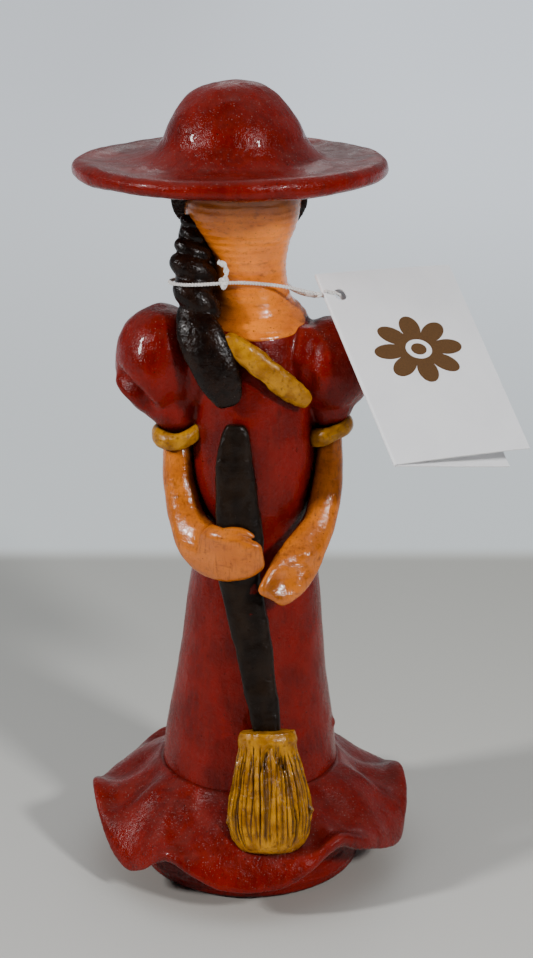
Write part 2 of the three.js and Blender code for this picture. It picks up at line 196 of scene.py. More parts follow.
def near(points, place, radius):
    """1 at a place, falling off to 0 round it."""
    return np.exp(-np.sum((points - np.array(place)) ** 2, axis=1) / radius**2)


def near_line(points, line, width):
    """1 on a curve, falling off to 0 beside it."""
    curve = spline(line, 40)
    nearest = np.full(len(points), np.inf)
    for place in curve:
        nearest = np.minimum(nearest, np.sum((points - place) ** 2, axis=1))
    return np.exp(-nearest / width**2)


def turned_about(points, axis, angle):
    """Points turned about a coordinate axis, in radians."""
    a, b = [(1, 2), (2, 0), (0, 1)][axis]
    out = np.array(points, float)
    out[:, a] = points[:, a] * math.cos(angle) - points[:, b] * math.sin(angle)
    out[:, b] = points[:, a] * math.sin(angle) + points[:, b] * math.cos(angle)
    return out


def leaning(points):
    """Points moved sideways with the doll's axis."""
    return points + np.outer(eased(LEAN, points[:, 2]), [1, 0, 0])


def unit(vectors):
    """Vectors scaled to a length of 1."""
    return vectors / np.maximum(np.linalg.norm(vectors, axis=-1, keepdims=True), 1e-12)


# ---------------------------------------------------------------- meshes

WELD_DISTANCE = 1e-8
SHARP_ANGLE = math.radians(50)
ROPE_SIDES = 18


def grid_faces(rows, columns, wrap_rows=False):
    """Quads over rows of points. Each row closes on itself, and the last on the first if rows wrap."""
    row = np.arange(rows if wrap_rows else rows - 1)[:, None]
    column = np.arange(columns)[None, :]
    next_row, next_column = (row + 1) % rows, (column + 1) % columns
    corners = [row * columns + column, row * columns + next_column,
               next_row * columns + next_column, next_row * columns + column]
    return np.stack(np.broadcast_arrays(*corners), axis=-1).reshape(-1, 4)


def lathe(profile, segments):
    """A body of revolution round the Z axis, from (radius, height) points."""
    angle = circle(segments)
    radius, height = np.asarray(profile, float).T
    points = np.stack([
        np.outer(radius, np.cos(angle)), np.outer(radius, np.sin(angle)),
        np.repeat(height[:, None], segments, axis=1),
    ], axis=-1)
    return points.reshape(-1, 3), grid_faces(len(radius), segments)


def coil(path, width, depth=None, blunt=0.4, square=1.0, rings=90, sides=40):
    """A closed coil of clay along a path, round at both ends.
    Half sizes run from end to end: width across the coil, depth towards the front."""
    turn = np.pi * np.arange(rings + 1) / rings
    t = (1 - np.cos(turn)) / 2
    middle = spline(path, t, even=False)
    tangent = unit(spline(path, np.minimum(t + 0.01, 1), even=False)
                   - spline(path, np.maximum(t - 0.01, 0), even=False))
    face = unit(np.array([0, -1, 0]) - tangent * -tangent[:, 1:2])
    side = np.cross(face, tangent)
    fullness = np.sin(turn) ** blunt
    fullness[[0, -1]] = 0
    angle = circle(sides)
    x = np.sign(np.cos(angle)) * np.abs(np.cos(angle)) ** square
    z = np.sign(np.sin(angle)) * np.abs(np.sin(angle)) ** square
    wide = (along(width, t) * fullness)[:, None, None] * x[None, :, None] * side[:, None, :]
    deep = (along(depth or width, t) * fullness)[:, None, None] * z[None, :, None] * face[:, None, :]
    return (middle[:, None, :] + wide + deep).reshape(-1, 3), grid_faces(rings + 1, sides)


def tube(line, section, twist=0.0, scale=None):
    """A rope along a line of points. section gives the radius at an angle, scale a factor for each point,
    and twist is how far the section turns from one point to the next, in radians."""
    line = np.asarray(line, float)
    tangent = unit(np.gradient(line, axis=0))
    side = np.zeros_like(line)
    side[0] = unit(np.cross(tangent[0], [0.3, 0.2, 1]))
    for i in range(1, len(line)):
        side[i] = unit(side[i - 1] - tangent[i] * (side[i - 1] @ tangent[i]))
    up = np.cross(tangent, side)
    angle = circle(ROPE_SIDES)
    turn = angle[None, :] - twist * np.arange(len(line))[:, None]
    radius = section(turn)
    if scale is not None:
        radius = radius * scale[:, None]
    ring = (side[:, None, :] * (radius * np.cos(angle))[..., None]
            + up[:, None, :] * (radius * np.sin(angle))[..., None])
    caps = [np.repeat(end, ROPE_SIDES, axis=0) for end in (line[:1], line[-1:])]
    points = np.concatenate([caps[0], (line[:, None, :] + ring).reshape(-1, 3), caps[1]])
    return points, grid_faces(len(line) + 2, ROPE_SIDES)


def ellipsoid(centre, radii, segments):
    turn = np.pi * np.arange(segments // 2 + 1) / (segments // 2)
    points, faces = lathe(np.stack([np.sin(turn), -np.cos(turn)], axis=1), segments)
    return points * radii + np.array(centre), faces


def linked(name, data):
    """A new object in the scene."""
    made = bpy.data.objects.new(name, data)
    bpy.context.scene.collection.objects.link(made)
    return made


def applied(piece):
    """Replaces a piece's mesh by what its modifiers make of it."""
    graph = bpy.context.evaluated_depsgraph_get()
    mesh = bpy.data.meshes.new_from_object(piece.evaluated_get(graph))
    piece.modifiers.clear()
    old, piece.data = piece.data, mesh
    bpy.data.meshes.remove(old)
    return mesh


def clean(mesh):
    """Welds the points that lie on each other and turns every face outwards."""
    shape = bmesh.new()
    shape.from_mesh(mesh)
    bmesh.ops.remove_doubles(shape, verts=shape.verts, dist=WELD_DISTANCE)
    bmesh.ops.recalc_face_normals(shape, faces=shape.faces)
    shape.to_mesh(mesh)
    shape.free()


def read_points(mesh, kind="vertices", name="co"):
    values = np.empty(len(getattr(mesh, kind)) * 3)
    getattr(mesh, kind).foreach_get(name, values)
    return values.reshape(-1, 3)


def write_points(mesh, points):
    mesh.vertices.foreach_set("co", points.ravel())
    mesh.update()


def read_edges(mesh):
    values = np.empty(len(mesh.edges) * 2, int)
    mesh.edges.foreach_get("vertices", values)
    return values.reshape(-1, 2)


def relaxed(points, edges, rounds):
    """Smooths points along their edges without shrinking the shape."""
    count = np.bincount(edges.ravel(), minlength=len(points))[:, None]
    for strength in (0.5, -0.52) * rounds:
        total = np.stack([
            np.bincount(edges[:, 0], points[edges[:, 1], k], len(points))
            + np.bincount(edges[:, 1], points[edges[:, 0], k], len(points)) for k in range(3)
        ], axis=1)
        points = points + strength * (total / count - points)
    return points


def fused(piece, voxel, rounds):
    """Replaces a piece's mesh by one closed skin round all its parts."""
    modifier = piece.modifiers.new("fuse", "REMESH")
    modifier.mode = "VOXEL"
    modifier.voxel_size = voxel * MM
    mesh = applied(piece)
    write_points(mesh, relaxed(read_points(mesh), read_edges(mesh), rounds))
    return mesh


def model(name, shapes, material, nodes, voxel=0, rounds=6, sculpt=None, body="doll", tint=None):
    """One piece of the doll, made of (points, faces) shapes in millimetres, which replaces CAD nodes.
    With a voxel size the shapes are fused into one skin, and smoothed in rounds. sculpt gives how far
    each point moves out along its normal; tint gives a value for each point that the material reads."""
    starts = np.cumsum([0] + [len(points) for points, _ in shapes[:-1]])
    points = np.concatenate([points for points, _ in shapes]) * MM
    faces = [
        [int(corner + start) for corner in face]
        for (_, own_faces), start in zip(shapes, starts) for face in own_faces
    ]
    mesh = bpy.data.meshes.new(name)
    mesh.from_pydata(points.tolist(), [], faces)
    clean(mesh)
    piece = linked(name, mesh)
    if voxel:
        mesh = fused(piece, voxel, rounds)
    if sculpt:
        at = read_points(mesh)
        out = read_points(mesh, "vertex_normals", "vector")
        write_points(mesh, at + out * (sculpt(at / MM, out) * MM)[:, None])
    if tint:
        layer = mesh.attributes.new("tint", "FLOAT", "POINT")
        layer.data.foreach_set("value", tint(read_points(mesh) / MM))
    lowest, highest = (np.array(corner) for corner in cad_box)
    write_points(mesh, np.clip(read_points(mesh), lowest, highest))
    mesh.shade_smooth()
    if not voxel:
        mesh.set_sharp_from_angle(angle=SHARP_ANGLE)
    mesh.name = name
    mesh.materials.clear()
    mesh.materials.append(material)
    if body:
        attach(piece, body)
    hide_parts(*nodes)
    return piece


# ---------------------------------------------------------------- materials

# Painted marks as (place, radius) in millimetres: brown painted shade in hollows of the arms, and the
# dress's red on the handle.
SHADED_HOLLOWS = [((8.6, -34, 98.6), 2.6), ((-17.4, -14, 106), 1.5)]
RED_SMEARS = [((2.2, -28, 96.2), 2.0), ((0.8, -28.5, 88.7), 0.55), ((7.4, -30.5, 70.4), 1.3)]
SURFACE_IOR = 1.45
INK_IOR = 1.5

class Nodes:
    """Builds one material's node tree. Sizes are in millimetres."""

    def __init__(self, name):
        self.material = bpy.data.materials.new(name)
        self.material.use_nodes = True
        self.tree = self.material.node_tree
        self.tree.nodes.clear()
        self.place = self.add("ShaderNodeTexCoord").outputs["Object"]

    def add(self, kind, inputs=None, **settings):
        """A new node. An input is a plain value, or the output of another node."""
        made = self.tree.nodes.new(kind)
        for key, value in settings.items():
            setattr(made, key, value)
        for key, value in (inputs or {}).items():
            if isinstance(value, bpy.types.NodeSocket):
                self.tree.links.new(value, made.inputs[key])
            else:
                made.inputs[key].default_value = value
        return made

    def moved(self, shift, stretch=(1, 1, 1)):
        """The place on the doll, shifted so that two textures of one kind don't fall on each other."""
        inputs = {"Vector": self.place, "Scale": stretch, "Location": (shift,) * 3}
        return self.add("ShaderNodeMapping", inputs).outputs["Vector"]

    def noise(self, size, detail, stretch=(1, 1, 1), shift=0.0):
        """Random values in patches about `size` across; a stretch below 1 draws them out along its axis."""
        inputs = {"Vector": self.moved(shift, stretch), "Scale": 1 / (size * MM), "Detail": detail}
        return self.add("ShaderNodeTexNoise", inputs).outputs["Fac"]

    def ramp(self, value, low, high):
        """0 at low, 1 at high, and level beyond them."""
        made = self.add("ShaderNodeMapRange", {0: value, 1: low, 2: high}, interpolation_type="SMOOTHSTEP")
        return made.outputs[0]

    def math(self, operation, a, b):
        return self.add("ShaderNodeMath", {0: a, 1: b}, operation=operation).outputs[0]

    def scaled(self, value, factor, base):
        """A value times a factor, on top of a base."""
        return self.math("ADD", self.math("MULTIPLY", value, factor), base)

    def mix(self, share, a, b):
        """Colour a where share is 0, and b where it is 1."""
        a, b = (color if isinstance(color, bpy.types.NodeSocket) else (*color, 1) for color in (a, b))
        return self.add("ShaderNodeMix", {0: share, 6: a, 7: b}, data_type="RGBA").outputs[2]

    def paint(self, share, a, b):
        """Sets the colour, which varies between two."""
        self.color = self.mix(share, a, b)

    def wash(self, mask, strength, tint):
        """Lays a tint over the colour, at most at the given strength."""
        self.color = self.mix(self.math("MULTIPLY", mask, strength), self.color, tint)

    def specks(self, size, share, shift=0.0):
        """Small round specks of many sizes; share is the part of a grid's cells that have one."""
        cells = self.add("ShaderNodeTexVoronoi", {"Vector": self.moved(shift), "Scale": 0.5 / (size * MM)})
        shade = self.add("ShaderNodeSeparateColor", {"Color": cells.outputs["Color"]})
        reach = self.math("MULTIPLY", shade.outputs[0], 0.3)
        spot = self.ramp(self.math("SUBTRACT", reach, cells.outputs["Distance"]), 0.0, 0.06)
        return self.math("MULTIPLY", spot, self.math("LESS_THAN", shade.outputs[1], share))

    def spot(self, place, radius, soft):
        """1 at a place, and 0 beyond a ragged edge `soft` wide round it."""
        inputs = {0: self.place, 1: [x * MM for x in place]}
        away = self.add("ShaderNodeVectorMath", inputs, operation="DISTANCE").outputs["Value"]
        ragged = self.scaled(self.noise(1.2, 3), 2.2 * MM, away)
        return self.ramp(ragged, (radius + 1.0 + soft) * MM, (radius + 1.0) * MM)

    def along_axis(self, vector, axis):
        return self.add("ShaderNodeSeparateXYZ", {0: vector}).outputs[axis]

    def facing_up(self, low, high):
        """0 where the surface's normal rises by less than low, 1 where it rises by more than high."""
        normal = self.add("ShaderNodeNewGeometry").outputs["Normal"]
        return self.ramp(self.along_axis(normal, 2), low, high)

    def occlusion_shade(self, reach):
        """Painted shade from ambient occlusion: 1 deep in a crease, 0 where nothing else is near within the
        reach.
        """
        inputs = {"Distance": reach * MM}
        openness = self.add("ShaderNodeAmbientOcclusion", inputs, samples=8).outputs["AO"]
        return self.ramp(openness, 0.85, 0.25)

    def bump(self, layers):
        """A normal from (height, depth in millimetres) layers, one on top of the other."""
        normal = None
        for height, depth in layers:
            inputs = {"Height": height, "Distance": depth * MM, "Strength": 1.0}
            if normal:
                inputs["Normal"] = normal
            normal = self.add("ShaderNodeBump", inputs).outputs["Normal"]
        return normal

    def finish(self, roughness, normal, **constants):
        """The finished material; the constants are named as the shader's sockets are."""
        inputs = {"Base Color": self.color, "Roughness": roughness, "Normal": normal, "IOR": SURFACE_IOR}
        inputs |= {key.replace("_", " "): value for key, value in constants.items()}
        shader = self.add("ShaderNodeBsdfPrincipled", inputs)
        self.add("ShaderNodeOutputMaterial", {"Surface": shader.outputs[0]})
        return self.material

    def varnished(self, roughness, normal, shine, coat, coat_roughness):
        """The finished material of painted clay, with its own shine under a thin coat of varnish."""
        return self.finish(roughness, normal, Specular_IOR_Level=shine, Coat_Weight=coat,
                           Coat_Roughness=coat_roughness)


def dress_red():
    """Brushed brick-red paint under varnish, with dust on top and painted shade in the creases."""
    n = Nodes("red_varnish")
    patches = n.ramp(n.noise(11, 4), 0.32, 0.7)
    n.paint(patches, (0.105, 0.0016, 0.0004), (0.185, 0.0036, 0.0008))
    strokes = n.ramp(n.noise(1.4, 3, (1, 1, 0.16)), 0.35, 0.75)
    n.wash(strokes, 0.4, (0.225, 0.0065, 0.0012))
    worn = n.ramp(n.noise(3.2, 5, shift=8.0), 0.6, 0.78)
    n.wash(worn, 0.45, (0.045, 0.0012, 0.0006))
    pits = n.specks(0.5, 0.2)
    n.wash(pits, 0.6, (0.012, 0.001, 0.0006))
    # Painted shade: darker where other surfaces are near, deep in creases.
    n.wash(n.occlusion_shade(4.5), 0.85, (0.012, 0.0008, 0.0004))
    veil = n.math("MULTIPLY", n.facing_up(0.3, 0.98), n.ramp(n.noise(5, 5, shift=3.0), 0.3, 0.75))
    n.wash(veil, 0.17, (0.13, 0.07, 0.055))
    motes = n.math("MULTIPLY", n.specks(0.34, 0.85, 7.0), n.facing_up(-0.1, 0.75))
    n.wash(motes, 0.42, (0.30, 0.2, 0.17))
    roughness = n.scaled(n.noise(2.5, 3, shift=1.0), 0.3, 0.1)
    roughness = n.scaled(veil, 0.22, roughness)
    dents, grain = n.noise(1.3, 2), n.noise(0.5, 2)
    normal = n.bump([(dents, 0.17), (grain, 0.15), (strokes, 0.04), (pits, -0.08), (motes, 0.03)])
    return n.varnished(roughness, normal, 0.16, 0.12, 0.05)


def skin_clay():
    """Orange-brown terracotta under varnish, with turning lines, dark flecks and a brown wash, and painted
    shade under the hat's brim, in hollows of the arms and in creases.
    """
    n = Nodes("clay_varnish")
    patches = n.ramp(n.noise(9, 4, (1, 1, 1.6)), 0.3, 0.72)
    n.paint(patches, (0.64, 0.142, 0.007), (1.0, 0.258, 0.014))
    lines = n.ramp(n.noise(2.6, 5, (0.35, 0.35, 1.9)), 0.35, 0.7)
    n.wash(lines, 0.25, (0.97, 0.29, 0.026))
    height = n.along_axis(n.place, 2)
    arms = n.ramp(height, 160 * MM, 140 * MM)
    n.wash(arms, 0.56, (0.30, 0.072, 0.005))
    streaks = n.ramp(n.noise(1.1, 5, (1.4, 1.4, 0.3), shift=9.0), 0.48, 0.76)
    brushed = n.math("MULTIPLY", arms, streaks)
    n.wash(brushed, 0.55, (0.13, 0.033, 0.004))
    # Painted shadow of the hat's brim, darkest up against the brim.
    n.wash(n.ramp(height, 198 * MM, 207 * MM), 0.88, (0.09, 0.016, 0.0008))
    # Painted shade in hollows of the arms.
    for place, radius in SHADED_HOLLOWS:
        n.wash(n.spot(place, radius, 4.0), 0.55, (0.09, 0.026, 0.005))
    smears = n.ramp(n.noise(2.4, 5, (0.8, 0.8, 1.8), shift=5.0), 0.55, 0.76)
    n.wash(smears, 0.55, (0.12, 0.032, 0.006))
    wear = n.ramp(n.noise(0.7, 4, shift=6.0), 0.56, 0.72)
    n.wash(wear, 0.32, (0.17, 0.05, 0.01))
    flecks = n.specks(0.4, 0.16, 3.0)
    n.wash(flecks, 0.7, (0.03, 0.009, 0.003))
    # Painted shade: wide under the hat's brim and round the parts, and dark deep in creases.
    n.wash(n.occlusion_shade(16.0), 0.62, (0.06, 0.014, 0.001))
    n.wash(n.occlusion_shade(4.0), 0.9, (0.022, 0.006, 0.002))
    roughness = n.scaled(n.noise(2.0, 3), 0.28, 0.06)
    normal = n.bump([(n.noise(1.0, 2), 0.10), (n.noise(0.36, 2), 0.05), (lines, 0.05), (flecks, -0.08)])
    return n.varnished(roughness, normal, 0.5, 0.2, 0.05)


def hair_brown():
    """Very dark brown paint under varnish."""
    n = Nodes("hair_varnish")
    patches = n.ramp(n.noise(3.5, 4), 0.35, 0.7)
    n.paint(patches, (0.0042, 0.0014, 0.0007), (0.0135, 0.0048, 0.0022))
    rubbed = n.ramp(n.noise(2.4, 5, shift=2.0), 0.69, 0.76)
    n.wash(rubbed, 0.5, (0.05, 0.006, 0.003))
    motes = n.specks(0.25, 0.14, 9.0)
    n.wash(motes, 0.3, (0.09, 0.07, 0.06))
    roughness = n.scaled(n.noise(1.8, 3), 0.24, 0.14)
    normal = n.bump([(n.noise(1.3, 2), 0.2), (n.noise(0.5, 3), 0.13), (motes, 0.03)])
    return n.varnished(roughness, normal, 0.2, 0.05, 0.08)


def handle_brown():
    """The dark brown of the broom's handle, with a few smears of the dress's red."""
    n = Nodes("handle_varnish")
    patches = n.ramp(n.noise(4, 4, (1, 1, 0.4)), 0.35, 0.7)
    n.paint(patches, (0.0058, 0.0027, 0.0013), (0.0145, 0.0073, 0.0036))
    for place, radius in RED_SMEARS:
        n.wash(n.spot(place, radius, 0.4), 0.8, (0.11, 0.004, 0.001))
    motes = n.specks(0.25, 0.14, 9.0)
    n.wash(motes, 0.3, (0.09, 0.07, 0.06))
    roughness = n.scaled(n.noise(1.8, 3), 0.26, 0.2)
    grooves = n.noise(0.7, 2, (1, 1, 0.12))
    normal = n.bump([(n.noise(1.3, 2), 0.18), (n.noise(0.5, 3), 0.12), (grooves, 0.05)])
    return n.varnished(roughness, normal, 0.17, 0.05, 0.1)


def gold_paint():
    """Yellow ochre paint, rubbed back over a dark brown wash, with painted shade in its creases."""
    n = Nodes("gold_varnish")
    patches = n.ramp(n.noise(3.5, 4), 0.3, 0.7)
    n.paint(patches, (0.26, 0.094, 0.0004), (0.50, 0.215, 0.0008))
    stain = n.ramp(n.noise(1.3, 4, shift=4.0), 0.52, 0.72)
    n.wash(stain, 0.62, (0.085, 0.024, 0.0008))
    # Painted shade in creases.
    n.wash(n.occlusion_shade(2.6), 0.85, (0.02, 0.005, 0.001))
    tint = n.add("ShaderNodeAttribute", attribute_name="tint").outputs["Fac"]
    n.wash(n.ramp(tint, 0.1, 0.75), 0.85, (0.045, 0.013, 0.0012))
    roughness = n.scaled(n.noise(1.6, 3), 0.25, 0.18)
    normal = n.bump([(n.noise(1.0, 2), 0.12), (n.noise(0.36, 3), 0.08), (stain, -0.04)])
    return n.varnished(roughness, normal, 0.3, 0.1, 0.07)


def white_card():
    """Matt white card with a fine laid texture."""
    n = Nodes("tag_card")
    fibres = n.noise(0.35, 3, (1, 1, 3.0))
    cloud = n.ramp(n.noise(14, 3), 0.3, 0.7)
    n.paint(cloud, (0.935, 0.935, 0.955), (0.98, 0.98, 0.995))
    n.wash(n.ramp(fibres, 0.45, 0.7), 0.25, (0.79, 0.785, 0.8))
    roughness = n.scaled(fibres, 0.12, 0.62)
    normal = n.bump([(fibres, 0.03)])
    return n.finish(roughness, normal)


def card_print():
    """Flat gold-brown ink."""
    n = Nodes("tag_ink")
    grain = n.ramp(n.noise(0.4, 3), 0.3, 0.7)
    n.paint(grain, (0.095, 0.04, 0.008), (0.125, 0.055, 0.012))
    roughness = n.scaled(grain, 0.1, 0.42)
    return n.finish(roughness, n.bump([(grain, 0.01)]), IOR=INK_IOR)


def cotton_string():
    """White cotton thread with loose fibres."""
    n = Nodes("cotton_thread")
    fibres = n.noise(0.22, 4)
    n.paint(n.ramp(fibres, 0.35, 0.65), (0.62, 0.595, 0.56), (0.88, 0.865, 0.84))
    roughness = n.scaled(fibres, 0.1, 0.82)
    return n.finish(roughness, n.bump([(fibres, 0.08)]), Sheen_Weight=0.3)


RED, SKIN, HAIR, HANDLE, GOLD = dress_red(), skin_clay(), hair_brown(), handle_brown(), gold_paint()
CARD, PRINT, COTTON = white_card(), card_print(), cotton_string()

# ---------------------------------------------------------------- camera

CAMERA_PLACE = (0.0052, -0.546, 0.300)
CAMERA_DOWN = math.radians(18.2)

camera = linked("camera", bpy.data.cameras.new("camera"))
camera.location = CAMERA_PLACE
camera.rotation_euler = (math.pi / 2 - CAMERA_DOWN, 0, 0)
camera.data.sensor_width = 36
camera.data.lens = 73.47
bpy.context.scene.camera = camera

# ---------------------------------------------------------------- string

LOOP_PATH = [
    (12.2, -10.2, 180), (9.4, -10.5, 180.6), (6.4, -10.9, 181.1), (1.2, -11.7, 181.7), (-4, -13.2, 182.2),
    (-9.4, -16.2, 182.5), (-15, -16.9, 182.4), (-19.8, -14.2, 182), (-21.9, -9, 181.6), (-20, -3.2, 181.2),
    (-14.6, 1.4, 180.8), (-10.2, 6, 180.4), (-4.6, 10.2, 180), (1.4, 11.6, 179.2), (7.2, 10, 178.3),
    (11.2, 6.2, 177.5), (12.4, 2.4, 177),
]
LEAD_FRONT = [(18.6, -9.5, 178.4), (15.6, -9.8, 179.1)]
LEAD_REAR = [(15.2, -1.9, 176.6), (18.9, -7.2, 177)]
KNOT = (-6.6, -15, 182.6)
HITCH = (20.1, -9.3, 177.9)
TAIL_PATH = [(-6.4, -15.4, 183.6), (-5.9, -15.8, 186), (-6.3, -15.8, 187.6), (-8.1, -15.3, 188.5)]
STRING_PITCH = 1.7


def two_ply(turn):
    """The outline of two threads side by side."""
    thread, offset = 0.6 * STRING_RADIUS, 0.4 * STRING_RADIUS
    return offset * np.abs(np.cos(turn)) + np.sqrt(thread**2 - (offset * np.sin(turn)) ** 2)


def rope(path, step=0.16, scale=None):
    """Two-ply string along a path."""
    rough = spline(path)
    length = np.sum(np.linalg.norm(np.diff(rough, axis=0), axis=1))
    count = int(length / step)
    line = spline(path, count)
    return line, length, tube(line, two_ply, 2 * np.pi * step / STRING_PITCH, scale)


def cord():
    """The whole string: from the tag's hitch round the neck and braid and back to the hitch."""
    line, length, shape = rope(LEAD_FRONT + LOOP_PATH + LEAD_REAR)
    nodes = ("string_loop", "string_lead_front", "string_lead_rear")
    piece = model("string", [shape], COTTON, nodes, body=None)
    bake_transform(piece)
    pieces = [knot(), tail()]


def knot():
    """An overhand knot, drawn tight."""
    turn = np.linspace(0, 2 * np.pi, 120, endpoint=False)
    line = np.stack([
        np.sin(turn) + 2 * np.sin(2 * turn), -np.sin(3 * turn), np.cos(turn) - 2 * np.cos(2 * turn),
    ], axis=1) * (0.36, 0.75, 0.52) + np.array(KNOT)
    line = np.concatenate([line, line[:1]])
    shape = tube(line, two_ply, 0.6)
    core = ellipsoid(KNOT, (0.9, 0.9, 1.3), 32)
    return model("string_knot_detail", [shape, core], COTTON, ["string_knot"], voxel=0.12, rounds=1)


def tail():
    """The frayed end above the knot, which curls over."""
    line = spline(TAIL_PATH, 40)
    fray = 1.35 + 0.5 * np.linspace(0, 1, 40) ** 2
    shape = tube(line, two_ply, 0.22, fray)
    return model("string_tail_detail", [shape], COTTON, ["string_tail"], voxel=0.12, rounds=1,
                 sculpt=roughened([(0.7, 0.12), (0.3, 0.07)], 51))


# ---------------------------------------------------------------- foot, dress and ruffle


def foot():
    """The thrown foot: turning grooves round its wall and a vent through its floor."""
    wall = spline([
        (FOOT_RADIUS - 1.4, 0.12), (FOOT_RADIUS - 0.3, 0.9), (FOOT_RADIUS, 4), (FOOT_RADIUS - 1, 8),
        (FOOT_RADIUS - 0.5, 11.5), (FOOT_RADIUS - 1.3, 14.5), (30.6, 19), (27, SKIRT_BOTTOM - 0.3),
    ], 90)
    under = [(VENT_RADIUS, 0), (10, 0), (20, 0), (30, 0), (FOOT_RADIUS - 1.9, 0)]
    inside = [(22.5, 26.2), (27.8, 14), (27.8, FOOT_FLOOR), (0, FOOT_FLOOR)]
    points, faces = lathe(np.vstack([[(0, 0)], under[1:], wall, inside]), 240)

    def sculpt(at, out):
        level = smoothstep(at[:, 2], 0.2, 2)
        rings = 0.12 * np.sin(at[:, 2] * 2.3 + 0.8 * noise(at, 30, 3))
        return level * (rings + worked(at, [(14, 0.35), (4, 0.12), (1.5, 0.05)], 11))

    cut_vent(model("foot_thrown", [(points, faces)], RED, ["foot"], sculpt=sculpt))


def cut_vent(piece):
    """Cuts the vent hole through the foot's floor."""
    shape = bmesh.new()
    bmesh.ops.create_cone(shape, cap_ends=True, segments=32, radius1=VENT_RADIUS * MM,
                          radius2=VENT_RADIUS * MM, depth=4 * FOOT_FLOOR * MM)
    bmesh.ops.translate(shape, verts=shape.verts, vec=(0, VENT_OFFSET * MM, 0))
    mesh = bpy.data.meshes.new("vent")
    shape.to_mesh(mesh)
    shape.free()
    tool = linked("vent", mesh)
    modifier = piece.modifiers.new("vent", "BOOLEAN")
    modifier.object = tool
    modifier.solver = "EXACT"
    applied(piece)
    bpy.data.objects.remove(tool)


# The skirt and bodice from hem to neck, as (radius, height).
DRESS_OUTLINE = [
    (27, SKIRT_BOTTOM), (26.5, 33), (25.4, 42), (23.2, 56), (21.6, 68), (20.5, 78), (19.2, 90),
    (18, 97.5), (16.9, 103), (17.1, 107), (18.5, 115.5), (19.2, 124), (19.3, 136), (18.8, 148),
    (17.8, 158), (16.8, 165), (15.9, 169), (15.0, 170.5), (13.2, 171.9), (10, 173), (0, 173),
]


def sloped_neck(points):
    """Lowers the neckline at the front and raises it at the back."""
    share = smoothstep(points[:, 2], 150, 168) - smoothstep(points[:, 2], 172, 182)
    return points + np.outer(NECKLINE_DROP * points[:, 1] * share, [0, 0, 1])


def dress():
    """Skirt, bodice and puffed sleeves, luted together."""
    wall = spline(DRESS_OUTLINE, 200)
    points, faces = lathe(np.vstack([[(0, SKIRT_BOTTOM)], wall]), 160)
    body = (leaning(sloped_neck(points)), faces)
    sleeves = [ellipsoid((-24.6, -2.5, 157.2), (13.4, 14.5, 16.4), 96),
               ellipsoid((23.6, -2.5, 155.6), (12, 14, 14.2), 96)]
    shoulders = coil(
        [(-25, -1.5, 161), (-12, -1.5, 163.5), (1.3, -1.5, 164), (14, -1.5, 163.5), (25, -1.5, 161)],
        [6, 6.6, 6.2, 6.6, 6], [9, 11, 12, 11, 9])
    chest = [coil([(-13.5, -4.5, 169), (-15, -6, 158), (-15.5, -5.5, 145)], [7, 8.6, 7]),
             coil([(15.5, -4.5, 168), (16.4, -6, 158), (17, -5.5, 145)], [7, 8.6, 7])]
    cuffs = [coil([(-22.6, -3, 151), (-21.6, -4.6, 146), (-20.6, -5.2, 141.6), (-20.3, -5.4, 136)],
                  [7.6, 8.8, 7.2, 4.6]),
             coil([(23.4, -3, 151), (23.4, -4.6, 146.4), (23.4, -5.2, 142), (23.4, -5.4, 136.6)],
                  [7, 7.6, 6, 4])]

    def sculpt(at, out):
        high = smoothstep(at[:, 2], 100, 112)
        skirt = worked(at, [(16, 0.3), (6, 0.14), (2, 0.045)], 21)
        beside = smoothstep(np.abs(at[:, 0] - 1), 17, 22) * high
        bodice = worked(at, [(12, 0.22), (5, 0.16), (1.8, 0.05)], 25)
        gathers = beside * worked(at * (1, 1, 0.45), [(5, 0.34), (2.4, 0.12)], 29)
        pinch = -2.6 * near_line(at, [(-35.4, -8, 154), (-32.6, -12.5, 150.4), (-29.4, -12.8, 146.4)], 2.4)
        lip = 1.3 * near_line(at, [(-37.4, -6, 151.6), (-34.6, -10.6, 146.8), (-30.6, -11.6, 143)], 2.2)
        crater = -0.9 * near(at, (-31.4, -13.4, 149.8), 2.2)
        fold = -0.7 * near_line(at, [(-27, -16.4, 164), (-22.5, -16.6, 155), (-20, -15.5, 146)], 2.6)
        nub = 0.8 * near(at, (25.6, -2, 43.2), 1.5)
        press = -0.8 * near(at, (30, -9, 146), 5)
        return skirt * (1 - high) + bodice * high + gathers + pinch + lip + crater + fold + nub + press

    nodes = ("skirt", "bodice", "sleeve_left", "sleeve_right")
    shapes = [body, *sleeves, shoulders, *chest, *cuffs]
    model("dress", shapes, RED, nodes, voxel=0.62, rounds=36, sculpt=sculpt)


# Height of the ruffle's edge as (azimuth in degrees, height); it waves round the hem.
RUFFLE_WAVES = [
    (-180, 22.5), (-170, 24.6), (-159, 19), (-148, 12.4), (-138, 9.7), (-130, 12.6), (-120, 18.6),
    (-110, 15.4), (-99, 11.6), (-80, 12), (-69, 16.6), (-56, 23), (-46, 19.6), (-34, 14.2), (-18, 11.2),
    (-4, 18.6), (10, 22.5), (26, 17.1), (44, 12.6), (60, 15.5), (76, 19.5), (92, 15), (108, 15.5),
    (126, 20.8), (146, 14.2), (163, 14.4), (180, 22.5),
]


